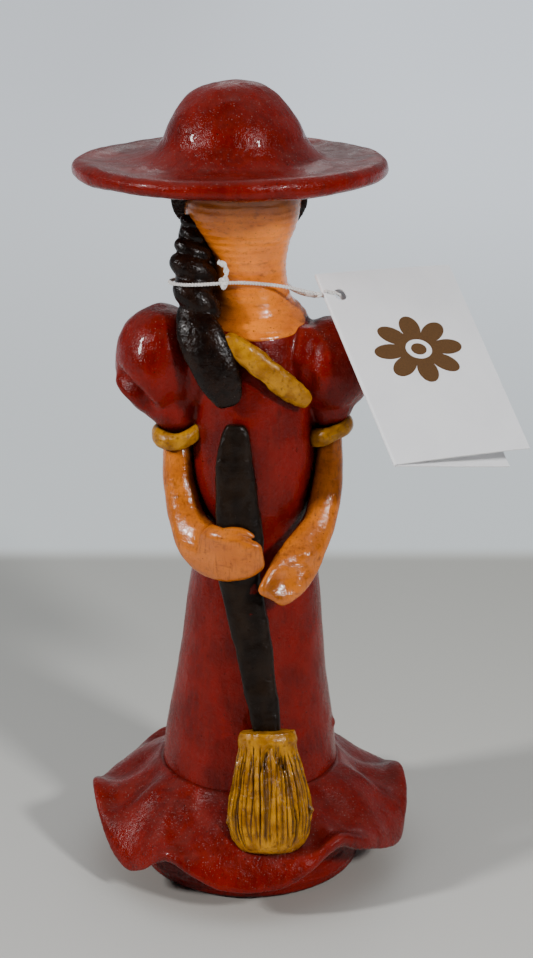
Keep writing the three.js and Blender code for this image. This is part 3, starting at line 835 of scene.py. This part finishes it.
def ruffle():
    """The waving flounce: it drapes where its edge is low, and dips before it flares where that is high."""
    half = RUFFLE_THICKNESS / 2
    inner, outer = RUFFLE_INNER_RADIUS, RUFFLE_OUTER_RADIUS
    top = [(r, half) for r in np.linspace(inner, outer - half, 44)]
    angle = np.linspace(np.pi / 2, -np.pi / 2, 17)[1:-1]
    rim = [(outer - half + half * math.cos(a), half * math.sin(a)) for a in angle]
    section = np.array(top + rim + [(r, -half) for r, _ in reversed(top)])
    segments = 480
    azimuth = 360 * np.arange(segments) / segments - 180
    edge = wave(RUFFLE_WAVES, azimuth)[None, :]
    radius = section[:, 0:1]
    outward = np.clip((radius - 27.5) / (outer - 27.5), 0, 1)
    dip = -3.4 + 7.8 * smoothstep(edge, 11, 21)
    bow = 4 * outward * (1 - outward)
    bead = 0.35 * np.exp(-((radius - outer + 3) / 2) ** 2) * np.sign(section[:, 1:2])
    height = RUFFLE_HEM + (edge - RUFFLE_HEM) * outward - dip * bow + section[:, 1:2] + bead
    turn = np.radians(azimuth)[None, :]
    points = np.stack([radius * np.cos(turn), radius * np.sin(turn), height], axis=-1).reshape(-1, 3)

    def sculpt(at, out):
        shape = worked(at, [(15, 0.4), (5, 0.2), (1.8, 0.06)], 31)
        seam = np.hypot(at[:, 0], at[:, 1])
        return shape * smoothstep(seam, 26, 30)

    faces = grid_faces(len(section), segments, wrap_rows=True)
    model("ruffle_flounce", [(points, faces)], RED, ["ruffle"], sculpt=sculpt)


# ---------------------------------------------------------------- head and hat


def fuller_left(points):
    """The neck and jaw are fuller on the side where the braid hangs."""
    share = smoothstep(points[:, 2], 172, 180) * (1 - smoothstep(points[:, 2], 199, 207))
    points[:, 0] -= 2.4 * share * smoothstep(-points[:, 0], -2, 9)
    return points


def head():
    """Neck and head in one turned form, with no face."""
    outline = [
        (10.4, 160), (12, 166), (15.3, 168.5), (15.8, 169.4), (13.9, 171.9), (11.4, 174.6), (10.4, 179),
        (10.1, 185), (11.3, 190.5), (13.8, 196), (15.5, 201.5), (16, 206), (15.8, 209.6),
    ]
    wall = spline(outline, 150)
    points, faces = lathe(np.vstack([[(0, 160)], wall, [(0, 209.6)]]), 180)

    def sculpt(at, out):
        rings = 0.05 * np.sin(at[:, 2] * 3.1 + 1.5 * noise(at, 20, 2))
        return rings + worked(at, [(9, 0.22), (3, 0.07), (1.2, 0.03)], 41)

    points = fuller_left(leaning(sloped_neck(points)))
    model("head_turned", [(points, faces)], SKIN, ["neck_head"], sculpt=sculpt)


def hat():
    """Brim and crown in one, with a fillet between them that is wider on the right."""
    under = [(0, 0), (14, 0), (28, 0), (38, 0)]
    edge = spline([
        (39.5, 0.02), (42.4, 0.35), (44, 1.5), (44.3, 2.8), (43.9, 4.2), (42.4, 5.2), (40, 5.25), (35, 4.5),
        (30, 4.7), (26, 5.3), (23.2, 6.3), (21, 7.9), (19.7, 10), (19, 12.2), (18.2, 14.4), (16.9, 16.8),
        (14.9, 19.6), (12.2, 22.3), (8.8, 24.6), (4.8, 25.8), (0, 26.15),
    ], 200)
    profile = np.vstack([under, edge])
    points, faces = lathe(profile, 300)
    points[:, 2] += BRIM_BOTTOM
    share = smoothstep(points[:, 2], 216, 219)
    points[:, 0] += HAT_CENTRE_X + (CROWN_CENTRE_X - HAT_CENTRE_X) * share

    def sculpt(at, out):
        from_axis = at - np.array([CROWN_CENTRE_X, 0, 0])
        radius = np.hypot(from_axis[:, 0], from_axis[:, 1])
        right = 0.5 + 0.5 * from_axis[:, 0] / np.maximum(radius, 1)
        flare = 1.3 * right * np.exp(-(((radius - 21.5) / 2.8) ** 2)) * smoothstep(at[:, 2], 213, 216)
        crown_share = smoothstep(at[:, 2], 216.5, 219)
        thrown = worked(at, [(20, 0.5), (7, 0.18), (2.4, 0.07)], 61) * (1 - crown_share)
        pressed = worked(at, [(9, 0.5), (4, 0.16), (1.6, 0.06)], 65) * crown_share
        shelf = 0.5 * near_line(at, [(-17, -13, 230), (-10, -14.5, 231.4), (-4, -13, 232)], 1.3)
        nick = -0.9 * near_line(at, [(-24.5, -10, 218.3), (-26, -14, 217), (-27, -17, 216)], 0.9)
        return flare + thrown + pressed + shelf + nick

    model("hat", [(points, faces)], RED, ("hat_brim", "hat_crown"), sculpt=sculpt)


# ---------------------------------------------------------------- hair and braid

BRAID_PATH = [(-17.3, -4, 198.5), (-16.7, -5.6, 193), (-15.7, -7.4, 187.5), (-15, -9, 182.5),
              (-14.7, -11.2, 178), (-14.6, -14, 174)]
BRAID_LOBES = [
    # centre, half width, half height, half depth, drop from left to right
    ((-15.6, -5.8, 197.6), 2.4, 1.9, 2.6, 1.8),
    ((-15.1, -6.6, 194.3), 3.1, 2.4, 3.1, 2.8),
    ((-15.4, -8.2, 190.2), 4.7, 3.1, 3.9, 4.2),
    ((-15.3, -10.2, 185.4), 6.4, 4.1, 4.7, 5.6),
    ((-14.1, -12.8, 177.1), 6.0, 4.6, 5.0, 9.6),
]
BRAID_END_PATH = [(-16.8, -12.6, 176.8), (-14.6, -16.4, 171), (-11.9, -19.4, 165.6), (-9.2, -20.8, 159.8),
                  (-6.6, -21.2, 153.6), (-4.9, -21, 148.6)]
GATHER = np.array([-17.3, -4.0, 198.5])
HEAD_MIDDLE = np.array([-1.5, 0.0, 198.0])


def braid_lobe(centre, half_width, half_height, half_depth, drop):
    """The part of a strand that shows as it crosses the other; its ends turn back and out of sight."""
    x, y, z = centre
    reach = half_width * 0.96
    path = [(x - reach, y + 2, z + drop / 2), (x, y, z), (x + reach, y + 2, z - drop / 2)]
    heights = [half_height * 0.8, half_height, half_height * 0.8]
    return coil(path, heights, [half_depth] * 3, blunt=0.62, rings=60)


def braid():
    """The twisted braid and its long end, which lies on the bodice."""
    end = coil(BRAID_END_PATH, [5.2, 6.3, 6.7, 6.5, 6.2, 5.4], [3, 3.2, 3, 2.8, 2.6, 2.2], blunt=0.5)
    core = coil(BRAID_PATH, [2, 3, 4, 5.4, 6, 6], blunt=0.5)
    nodes = ("braid_strand_a", "braid_strand_b", "braid_end")
    lobes = [braid_lobe(*lobe) for lobe in BRAID_LOBES]
    model("braid", [core, *lobes, end], HAIR, nodes, voxel=0.36, rounds=1,
          sculpt=roughened([(5, 0.25), (2, 0.12), (0.8, 0.04)], 71))


def hair():
    """A slab of hair over the back and sides of the head, combed towards the braid."""
    outline = spline([(12.4, 186), (15.4, 190.5), (17.6, 195), (19, 200), (19.3, 209.5)], 60)
    points, faces = lathe(np.vstack([[(0, 186)], outline, [(0, 209.5)]]), 120)
    points[:, 0] -= 2.5
    slab = sliced((points, faces), (0, -3.5, 206), 0.75)

    def sculpt(at, out):
        toward = unit(GATHER - HEAD_MIDDLE)
        side = unit(np.cross(toward, [0, 0, 1]))
        up = np.cross(side, toward)
        ray = at - HEAD_MIDDLE
        swirl = np.arctan2(ray @ up, ray @ side) + 0.05 * noise(at, 6, 5)
        combed = 0.2 * np.sin(34 * swirl) * smoothstep(np.linalg.norm(at - GATHER, axis=1), 3, 9)
        behind = smoothstep(at[:, 1], 3, 9)
        return combed * behind + worked(at, [(5, 0.2), (2, 0.08)], 75)

    model("hair_cap", [slab], HAIR, ["hair_shell"], voxel=0.42, rounds=3, sculpt=sculpt)


def sliced(shape, place, tilt):
    """The part of a closed shape behind a plane that leans back by `tilt` radians, closed again."""
    points, faces = shape
    mesh = bpy.data.meshes.new("sliced")
    mesh.from_pydata(points.tolist(), [], faces.tolist())
    work = bmesh.new()
    work.from_mesh(mesh)
    bmesh.ops.remove_doubles(work, verts=work.verts, dist=1e-5)
    normal = (0, -math.cos(tilt), -math.sin(tilt))
    parts = work.verts[:] + work.edges[:] + work.faces[:]
    cut = bmesh.ops.bisect_plane(work, geom=parts, plane_co=place, plane_no=normal, clear_outer=True)
    edges = [part for part in cut["geom_cut"] if isinstance(part, bmesh.types.BMEdge)]
    bmesh.ops.holes_fill(work, edges=edges)
    bmesh.ops.triangulate(work, faces=work.faces)
    kept = np.array([v.co for v in work.verts])
    corners = [[v.index for v in f.verts] for f in work.faces]
    work.free()
    bpy.data.meshes.remove(mesh)
    return kept, corners


# ---------------------------------------------------------------- arms and bands


def arm_left():
    """The left arm: its mitten hand lies over the broom's handle, with the thumb above."""
    limb = coil(
        [(-20.2, -4.8, 145), (-20.3, -5.4, 137), (-20.2, -6.6, 129.5), (-19.7, -8.8, 121.5),
         (-17.4, -14, 112.8), (-13.2, -20.6, 107.6), (-7.8, -25.8, 106.4), (-1.6, -28.2, 106.2),
         (4.4, -28.8, 107)],
        [3, 3.6, 4.8, 5, 5, 5.7, 7.3, 8.4, 8, 6.2], [3, 3.6, 4.8, 4.8, 4.5, 4.1, 3.6, 3.1, 2.8, 2.3],
        blunt=0.32, square=0.92, rings=140, sides=56)
    thumb = coil([(-8.4, -25.2, 112.6), (-4.6, -26.6, 113.9), (-0.8, -27.5, 113.7), (1.9, -28, 112.4)],
                 [0.8, 1.1, 1.1, 0.7], [1, 1.2, 1.2, 0.9], rings=40, sides=20)

    def sculpt(at, out):
        knuckle = 0.7 * near_line(at, [(-12, -24, 112), (-5, -29, 112.6), (2, -31, 111.5)], 2.6)
        palm = -0.5 * near(at, (-3, -31, 106), 5)
        return knuckle + palm + worked(at, [(8, 0.25), (3, 0.1), (1.1, 0.035)], 81)

    shapes = [limb, thumb]
    model("arm_left_modelled", shapes, SKIN, ["arm_left"], voxel=0.4, rounds=1, sculpt=sculpt)


def arm_right():
    """The right arm: the back of its mitten hand is hollowed, with a ridge along its upper edge."""
    limb = coil(
        [(23.2, -4.8, 145), (23.4, -5.6, 137), (23.1, -6.8, 129), (22.5, -9.4, 120.5), (20.4, -14.6, 112.4),
         (16.6, -20.8, 106.8), (12.6, -26, 102), (9.4, -29.4, 98.2), (6.6, -31, 94.5)],
        [3, 3.6, 4.3, 4.5, 4.6, 4.9, 5.7, 7, 7.4, 6.2], [3, 3.6, 4.2, 4.2, 4.2, 4, 3.6, 3.2, 2.9, 2.4],
        blunt=0.32, square=0.88, rings=140, sides=56)

    def sculpt(at, out):
        edge = [(3.6, -32, 98), (4.6, -33, 103), (7, -33, 107), (11.5, -31, 108.6), (17.5, -26, 106.6)]
        ridge = 1.5 * near_line(at, edge, 2.2)
        hollow = -2.2 * near(at, (10.4, -33, 100.4), 4.2)
        return ridge + hollow + worked(at, [(8, 0.22), (3, 0.1), (1.1, 0.035)], 85)

    model("arm_right_modelled", [limb], SKIN, ["arm_right"], sculpt=sculpt)


def band(side, centre, radius, droop, tilt, seed):
    """A coil of clay round the upper arm, which sags at the front."""
    turn = circle(120)
    sag = -droop * (0.5 - 0.5 * np.sin(turn)) ** 2
    line = np.stack([radius * np.cos(turn), radius * np.sin(turn), sag], axis=1)
    line = turned_about(turned_about(line, 0, -0.2), 1, tilt) + np.array(centre)
    angle = circle(28)
    outward = unit(np.stack([np.cos(turn), np.sin(turn), 0 * turn], axis=1))
    ring = (outward[:, None, :] * (1.9 * np.cos(angle))[None, :, None]
            + np.array([0, 0, 1]) * (2.6 * np.sin(angle))[None, :, None])
    shape = ((line[:, None, :] + ring).reshape(-1, 3), grid_faces(len(line), len(angle), wrap_rows=True))
    model(f"arm_band_{side}_coil", [shape], GOLD, [f"arm_band_{side}"],
          sculpt=roughened([(5, 0.3), (2, 0.14), (0.9, 0.05)], seed))


# ---------------------------------------------------------------- collar ribbon and broom


def ribbon():
    """A flat strip of clay from the braid to the right sleeve, with nibbled edges."""
    path = [(-6.4, -19, 168.4), (-1, -20.4, 164), (6, -20.7, 158.4), (12.6, -18.8, 152.4),
            (17, -16.4, 148.4)]
    strip = coil(path, [3, 3.5, 3.5, 3.7, 3.4], [2, 2], square=0.8, rings=110, sides=44)

    def sculpt(at, out):
        upward = np.abs(out[:, 2])
        edge = 0.3 * upward * noise(at, 1.5, 92)
        pit = -0.7 * near(at, (15.4, -19, 152.4), 0.6)
        return edge + pit + worked(at, [(4, 0.22), (1.8, 0.12), (0.8, 0.05)], 91)

    model("collar_ribbon_strip", [strip], GOLD, ["collar_ribbon"], sculpt=sculpt)


def handle():
    """The broom's handle: a flat strip pressed on to the dress."""
    path = [(-3.4, -21.3, 143.4), (-3.8, -21.6, 132), (-3.1, -22.2, 120), (-2.2, -22.8, 110),
            (-2.6, -23.6, 98.4), (-0.1, -25, 86), (2.6, -27, 71), (5.2, -30, 54), (6, -32, 48)]
    widths = [5.2, 6.1, 6.3, 6.8, 5.9, 5.7, 5.5, 5.3, 5, 4.8]
    depths = [2.6, 3, 3.2, 3, 2.8, 2.8, 2.8, 2.8, 2.8]
    strip = coil(path, widths, depths, blunt=0.32, square=0.6, rings=220, sides=60)
    model("broom_handle_strip", [strip], HANDLE, ["broom_handle"],
          sculpt=roughened([(7, 0.3), (2.6, 0.2), (1.1, 0.08)], 101))


STRAWS = 58
BROOM_PLACE = np.array([6.4, -40, 20.6])
BROOM_LEAN, BROOM_ROLL = -0.26, -0.03
BROOM_FLATNESS = 0.66
BROOM_LENGTH = 34.6


def straw_depth(angle, level):
    """How deep the lines between the straws are, from 0 to 1, at an angle and a level from 0 to 1."""
    depth = np.zeros_like(angle)
    random = np.random.default_rng(7)
    for i in range(STRAWS):
        start = 2 * np.pi * (i + random.uniform(-0.32, 0.32)) / STRAWS
        bend, wave_start = random.uniform(-0.09, 0.09), random.uniform(0, 6)
        width = random.uniform(0.022, 0.062)
        low, top = random.uniform(0.0, 0.1), random.uniform(0.76, 0.88)
        strength = random.uniform(0.4, 1)
        middle = start + bend * level + 0.035 * np.sin(7 * level + wave_start)
        away = np.angle(np.exp(1j * (angle - middle)))
        along_it = smoothstep(level, low, low + 0.09) * (1 - smoothstep(level, top, top + 0.07))
        depth = np.maximum(depth, strength * along_it * np.exp(-((away / width) ** 2)))
    return depth


def broom_head():
    """The broom's straw: a bell with incised lines below a smooth collar, and a smooth lip."""
    outline = spline([(5.4, -0.9), (8.6, 0.2), (10.9, 3), (12.1, 8), (12.1, 13), (10.8, 19.5), (9.2, 26.5),
                      (8.5, 30), (8.7, 32.6), (7.9, 34.4)], 150)
    profile = np.vstack([[(0, -1)], outline, [(0, 34.8)]])
    points, faces = lathe(profile, 420)
    angle = np.arctan2(points[:, 1], points[:, 0])
    level = np.clip(points[:, 2] / BROOM_LENGTH, 0, 1)
    depth = straw_depth(angle, level)
    body = smoothstep(level, 0.05, 0.15) * smoothstep(0.84 - level, 0, 0.1)
    ripple = 0.2 * np.sin(angle * 61 + 3 * level) * body
    radius = np.maximum(np.hypot(points[:, 0], points[:, 1]), 1e-6)
    grown = (radius - 0.85 * depth * smoothstep(radius, 0, 6) + ripple * smoothstep(radius, 0, 6)) / radius
    points[:, :2] *= grown[:, None]
    points[:, 1] *= BROOM_FLATNESS
    placed = turned_about(turned_about(points, 0, BROOM_LEAN), 1, BROOM_ROLL) + BROOM_PLACE

    def incised(at):
        """How deep the lines are at points of the finished broom."""
        local = turned_about(turned_about(at - BROOM_PLACE, 1, -BROOM_ROLL), 0, -BROOM_LEAN)
        angles = np.arctan2(local[:, 1] / BROOM_FLATNESS, local[:, 0])
        return straw_depth(angles, np.clip(local[:, 2] / BROOM_LENGTH, 0, 1))

    def sculpt(at, out):
        pinch = -0.9 * near_line(at, [(3.8, -38.8, 45.5), (6.4, -37.6, 51.6), (9.8, -38.8, 46)], 0.7)
        burrs = 0.9 * near(at, (18.3, -38, 32.2), 0.9) + 0.8 * near(at, (-5.6, -38, 28.4), 0.9)
        return pinch + burrs + worked(at, [(4, 0.22), (1.5, 0.12), (0.7, 0.05)], 111)

    model("broom_straw", [(placed, faces)], GOLD, ["broom_head"], sculpt=sculpt, tint=incised)


# ---------------------------------------------------------------- tag

TAG_CORNER = np.array([19.3, -4.4, 182.4])
TAG_ACROSS = unit(np.array([0.87, 0.5, -0.04]))
TAG_UP = np.array([-0.33, 0.64, 0.7])
TAG_UP = unit(TAG_UP - TAG_ACROSS * (TAG_UP @ TAG_ACROSS))
TAG_OUT = np.cross(TAG_ACROSS, TAG_UP)
TAG_HOLE = (4.6, -7.4)
MARK_CENTRE = (22.5, -27.5)
MARK_STRETCH = (1.35, 1.0)
FRONT_CURL, BACK_CURL = -1.6, 0.8


def on_tag(points, opened=0.0):
    """Points of the tag's own frame placed on the doll, opened by an angle in degrees about the fold."""
    points = turned_about(points, 1, math.radians(opened))
    return TAG_CORNER + points @ np.stack([TAG_ACROSS, TAG_UP, TAG_OUT])


def bent(points, curl):
    """Bends a leaf a little, away from its own face towards the corners."""
    x, y = points[:, 0] / TAG_WIDTH, -points[:, 1] / TAG_LENGTH
    out = points.copy()
    out[:, 2] += curl * (x**2 * (0.6 + 0.4 * y) - 0.25 * x)
    return out


def leaf_outline():
    """A rectangle filled with small triangles, with the punched hole left out."""
    turn = circle(40)
    hole = np.array(TAG_HOLE) + TAG_HOLE_RADIUS * np.stack([np.cos(turn), np.sin(turn)], axis=1)
    across, down = np.linspace(0, TAG_WIDTH, 36), np.linspace(-TAG_LENGTH, 0, 50)
    inside = np.array([(x, y) for x in across for y in down])
    inside = inside[np.hypot(*(inside - TAG_HOLE).T) > TAG_HOLE_RADIUS + 0.5]
    points = np.concatenate([hole, inside])
    edges = [(i, (i + 1) % len(hole)) for i in range(len(hole))]
    filled = geometry.delaunay_2d_cdt([tuple(p) for p in points], edges, [], 0, 1e-6)
    placed, triangles = np.array(filled[0]), filled[2]
    kept = [t for t in triangles
            if np.hypot(*(placed[list(t)].mean(axis=0) - TAG_HOLE)) > TAG_HOLE_RADIUS * 0.995]
    return placed, [list(t) for t in kept]


def plate(outline, low, high):
    """A flat closed plate between two levels, from a triangulated outline."""
    flat, triangles = outline
    count = len(flat)
    points = np.concatenate([np.column_stack([flat, np.full(count, z)]) for z in (low, high)])
    sides = {}
    for triangle in triangles:
        for a, b in zip(triangle, triangle[1:] + triangle[:1]):
            key = (min(a, b), max(a, b))
            sides[key] = None if key in sides else (a, b)
    walls = [[a, b, b + count, a + count] for a, b in filter(None, sides.values())]
    top = [[a + count for a in triangle] for triangle in triangles]
    return points, [triangle[::-1] for triangle in triangles] + top + walls


def tag():
    """Two leaves of card hinged at a fold, a printed flower and the string through the hole."""
    outline = leaf_outline()
    half = LEAF_GAP / 2
    front, faces = plate(outline, half, half + LEAF_THICKNESS)
    back, _ = plate(outline, -half - LEAF_THICKNESS, -half)
    front_shapes = [(on_tag(bent(front, FRONT_CURL)), faces), fold_bead()]
    back_shapes = [(on_tag(bent(back, BACK_CURL), TAG_OPENING), faces)]
    model("tag_front_card", front_shapes, CARD, ["tag_front_leaf"], body="tag_front")
    model("tag_back_card", back_shapes, CARD, ["tag_back_leaf"], body="tag_back")
    flower()
    hole_string("string_over_tag", 1, 0, "tag_front")
    hole_string("string_behind_tag", -1, TAG_OPENING, "tag_back")


def fold_bead():
    """The rounded fold, on the hinge's own line."""
    line = np.stack([np.zeros(60), np.linspace(-TAG_LENGTH, 0, 60), np.zeros(60)], axis=1)
    points, faces = tube(line, lambda turn: np.full_like(turn, 0.6))
    return on_tag(points), faces


def flower():
    """A plain eight-petalled flower, printed on the front leaf."""
    turn = np.linspace(0, 2 * np.pi, 241)[:-1]
    radius = 5.6 + 5.4 * np.abs(np.cos(4 * turn)) ** 0.7
    inner = np.full_like(turn, 3.2)
    ring = np.stack([np.cos(turn), np.sin(turn)], axis=1)
    outer_points, inner_points = ring * radius[:, None], ring * inner[:, None]
    eye = ring * 1.9
    count = len(turn)
    flat = np.concatenate([outer_points, inner_points, eye, [(0, 0)]]) * MARK_STRETCH + MARK_CENTRE
    triangles = []
    for i in range(count):
        j = (i + 1) % count
        triangles += [[i, j, j + count], [i, j + count, i + count]]
        triangles += [[i + 2 * count, j + 2 * count, 3 * count]]
    level = LEAF_GAP / 2 + LEAF_THICKNESS
    points, faces = plate((flat, triangles), level + 0.01, level + 0.05)
    model("tag_flower", [(on_tag(bent(points, FRONT_CURL)), faces)], PRINT, [], body="tag_front")


def hole_string(node, out, opened, body):
    """The string that crosses the fold on one face of the tag and dips into the hole."""
    x, y = TAG_HOLE
    clear = out * (LEAF_GAP / 2 + LEAF_THICKNESS + STRING_RADIUS * 0.8)
    path = [(-0.2, y + 1.3, clear * 1.1), (1.2, y + 0.8, clear), (2.8, y + 0.4, clear), (x, y, out * 0.3)]
    points = on_tag(spline(path, 40), opened)
    shape = tube(points, two_ply, 2 * np.pi * 0.13 / STRING_PITCH)
    model(f"{node}_thread", [shape], COTTON, [node], body=body)


def hitch():
    """The knot that ties the string to the tag."""
    turn = np.linspace(0, 2 * np.pi, 80)
    line = np.stack([0.4 * np.cos(2 * turn), 0.4 * np.sin(2 * turn), 0.5 * np.sin(turn)], axis=1)
    thread = tube(line + np.array(HITCH), lambda angle: np.full_like(angle, 0.36))
    ties = [rope([lead_end, HITCH], 0.1)[2] for lead_end in (LEAD_FRONT[0], LEAD_REAR[-1])]
    shapes = [thread, *ties]
    model("string_hitch_knot", shapes, COTTON, ["string_hitch"], voxel=0.12, rounds=1, body="string_lead")


# ---------------------------------------------------------------- floor and light


TABLE_EDGE = (0.25, 0.272)
FAR_GLOW = 0.8
SKY_TOP = (0.0, 0.72, 0.69)
SKY_DIM, SKY_BRIGHT = 0.04, 0.36
SKY_DIM_AT, SKY_BRIGHT_AT = -0.35, 0.95


def floor():
    """A wide pale table top with painted shading, darker towards its back edge and left side, and a painted
    contact shadow close to the doll; beyond its edge, cooler ground painted lighter further back, which
    glows as painted light.
    """
    n = Nodes("floor")
    across, back = n.along_axis(n.place, 0), n.along_axis(n.place, 1)
    far = n.ramp(back, *TABLE_EDGE)
    # Painted shading: the table darkens towards its back edge.
    table = n.mix(n.ramp(back, -0.3, 0.26), (0.74, 0.725, 0.69), (0.56, 0.56, 0.515))
    # Beyond the edge, ground painted lighter further back; it also glows, as painted light.
    ground = n.mix(n.ramp(back, -0.1, 1.7), (0.40, 0.435, 0.44), (0.86, 0.92, 1.0))
    n.paint(far, table, ground)
    # Painted shade towards the left.
    n.wash(n.ramp(across, 0.2, -0.25), 0.35, (0.42, 0.43, 0.43))
    # Painted contact shadow round the doll.
    n.wash(n.occlusion_shade(70), 0.5, (0.26, 0.22, 0.185))
    glow = n.math("MULTIPLY", far, FAR_GLOW)
    shader = {"Base Color": n.color, "Roughness": 0.6, "Emission Color": n.color, "Emission Strength": glow}
    made = n.add("ShaderNodeBsdfPrincipled", shader)
    n.add("ShaderNodeOutputMaterial", {"Surface": made.outputs[0]})
    shape = bmesh.new()
    bmesh.ops.create_grid(shape, x_segments=1, y_segments=1, size=12)
    mesh = bpy.data.meshes.new("floor")
    shape.to_mesh(mesh)
    shape.free()
    mesh.materials.append(n.material)
    linked("floor", mesh)


def area_light(name, azimuth, elevation, distance, size, power):
    """A soft light that looks at the doll's chest. Azimuth 0 is in front of it, and 90 at +X."""
    light = bpy.data.lights.new(name, "AREA")
    light.shape = "DISK"
    light.size = size
    light.energy = power
    lamp = linked(name, light)
    a, e = math.radians(azimuth), math.radians(elevation)
    toward_light = np.array([math.sin(a) * math.cos(e), -math.cos(a) * math.cos(e), math.sin(e)])
    lamp.location = np.array([0, 0, 0.13]) + distance * toward_light
    lamp.rotation_euler = (math.pi / 2 - e, 0, a)


def sky():
    """Surroundings that are bright above and behind the doll, and dim in front of it."""
    world = bpy.data.worlds.new("studio")
    world.use_nodes = True
    tree = world.node_tree
    direction = tree.nodes.new("ShaderNodeTexCoord").outputs["Generated"]
    toward = tree.nodes.new("ShaderNodeVectorMath")
    toward.operation = "DOT_PRODUCT"
    toward.inputs[1].default_value = SKY_TOP
    tree.links.new(direction, toward.inputs[0])
    share = tree.nodes.new("ShaderNodeMapRange")
    share.interpolation_type = "SMOOTHSTEP"
    tree.links.new(toward.outputs["Value"], share.inputs[0])
    for key, value in {1: SKY_DIM_AT, 2: SKY_BRIGHT_AT, 3: SKY_DIM, 4: SKY_BRIGHT}.items():
        share.inputs[key].default_value = value
    background = tree.nodes["Background"]
    background.inputs["Color"].default_value = (0.92, 0.95, 1.0, 1)
    tree.links.new(share.outputs[0], background.inputs["Strength"])
    bpy.context.scene.world = world


def lights():
    sky()
    area_light("key_left", -66, 27, 1.1, 0.13, 9.3)
    area_light("key_right", 38, 29, 1.1, 0.13, 8.8)
    area_light("back", 176, 27, 1.3, 0.5, 0.8)


# ---------------------------------------------------------------- assembly

cord()
foot()
dress()
ruffle()
head()
hat()
hair()
braid()
arm_left()
arm_right()
band("left", (-20.3, -5.6, 138.3), 6.2, 3.8, -0.2, 95)
band("right", (23, -5.8, 137.8), 5.3, 1.6, -0.34, 97)
ribbon()
handle()
broom_head()
hitch()
tag()
floor()
lights()
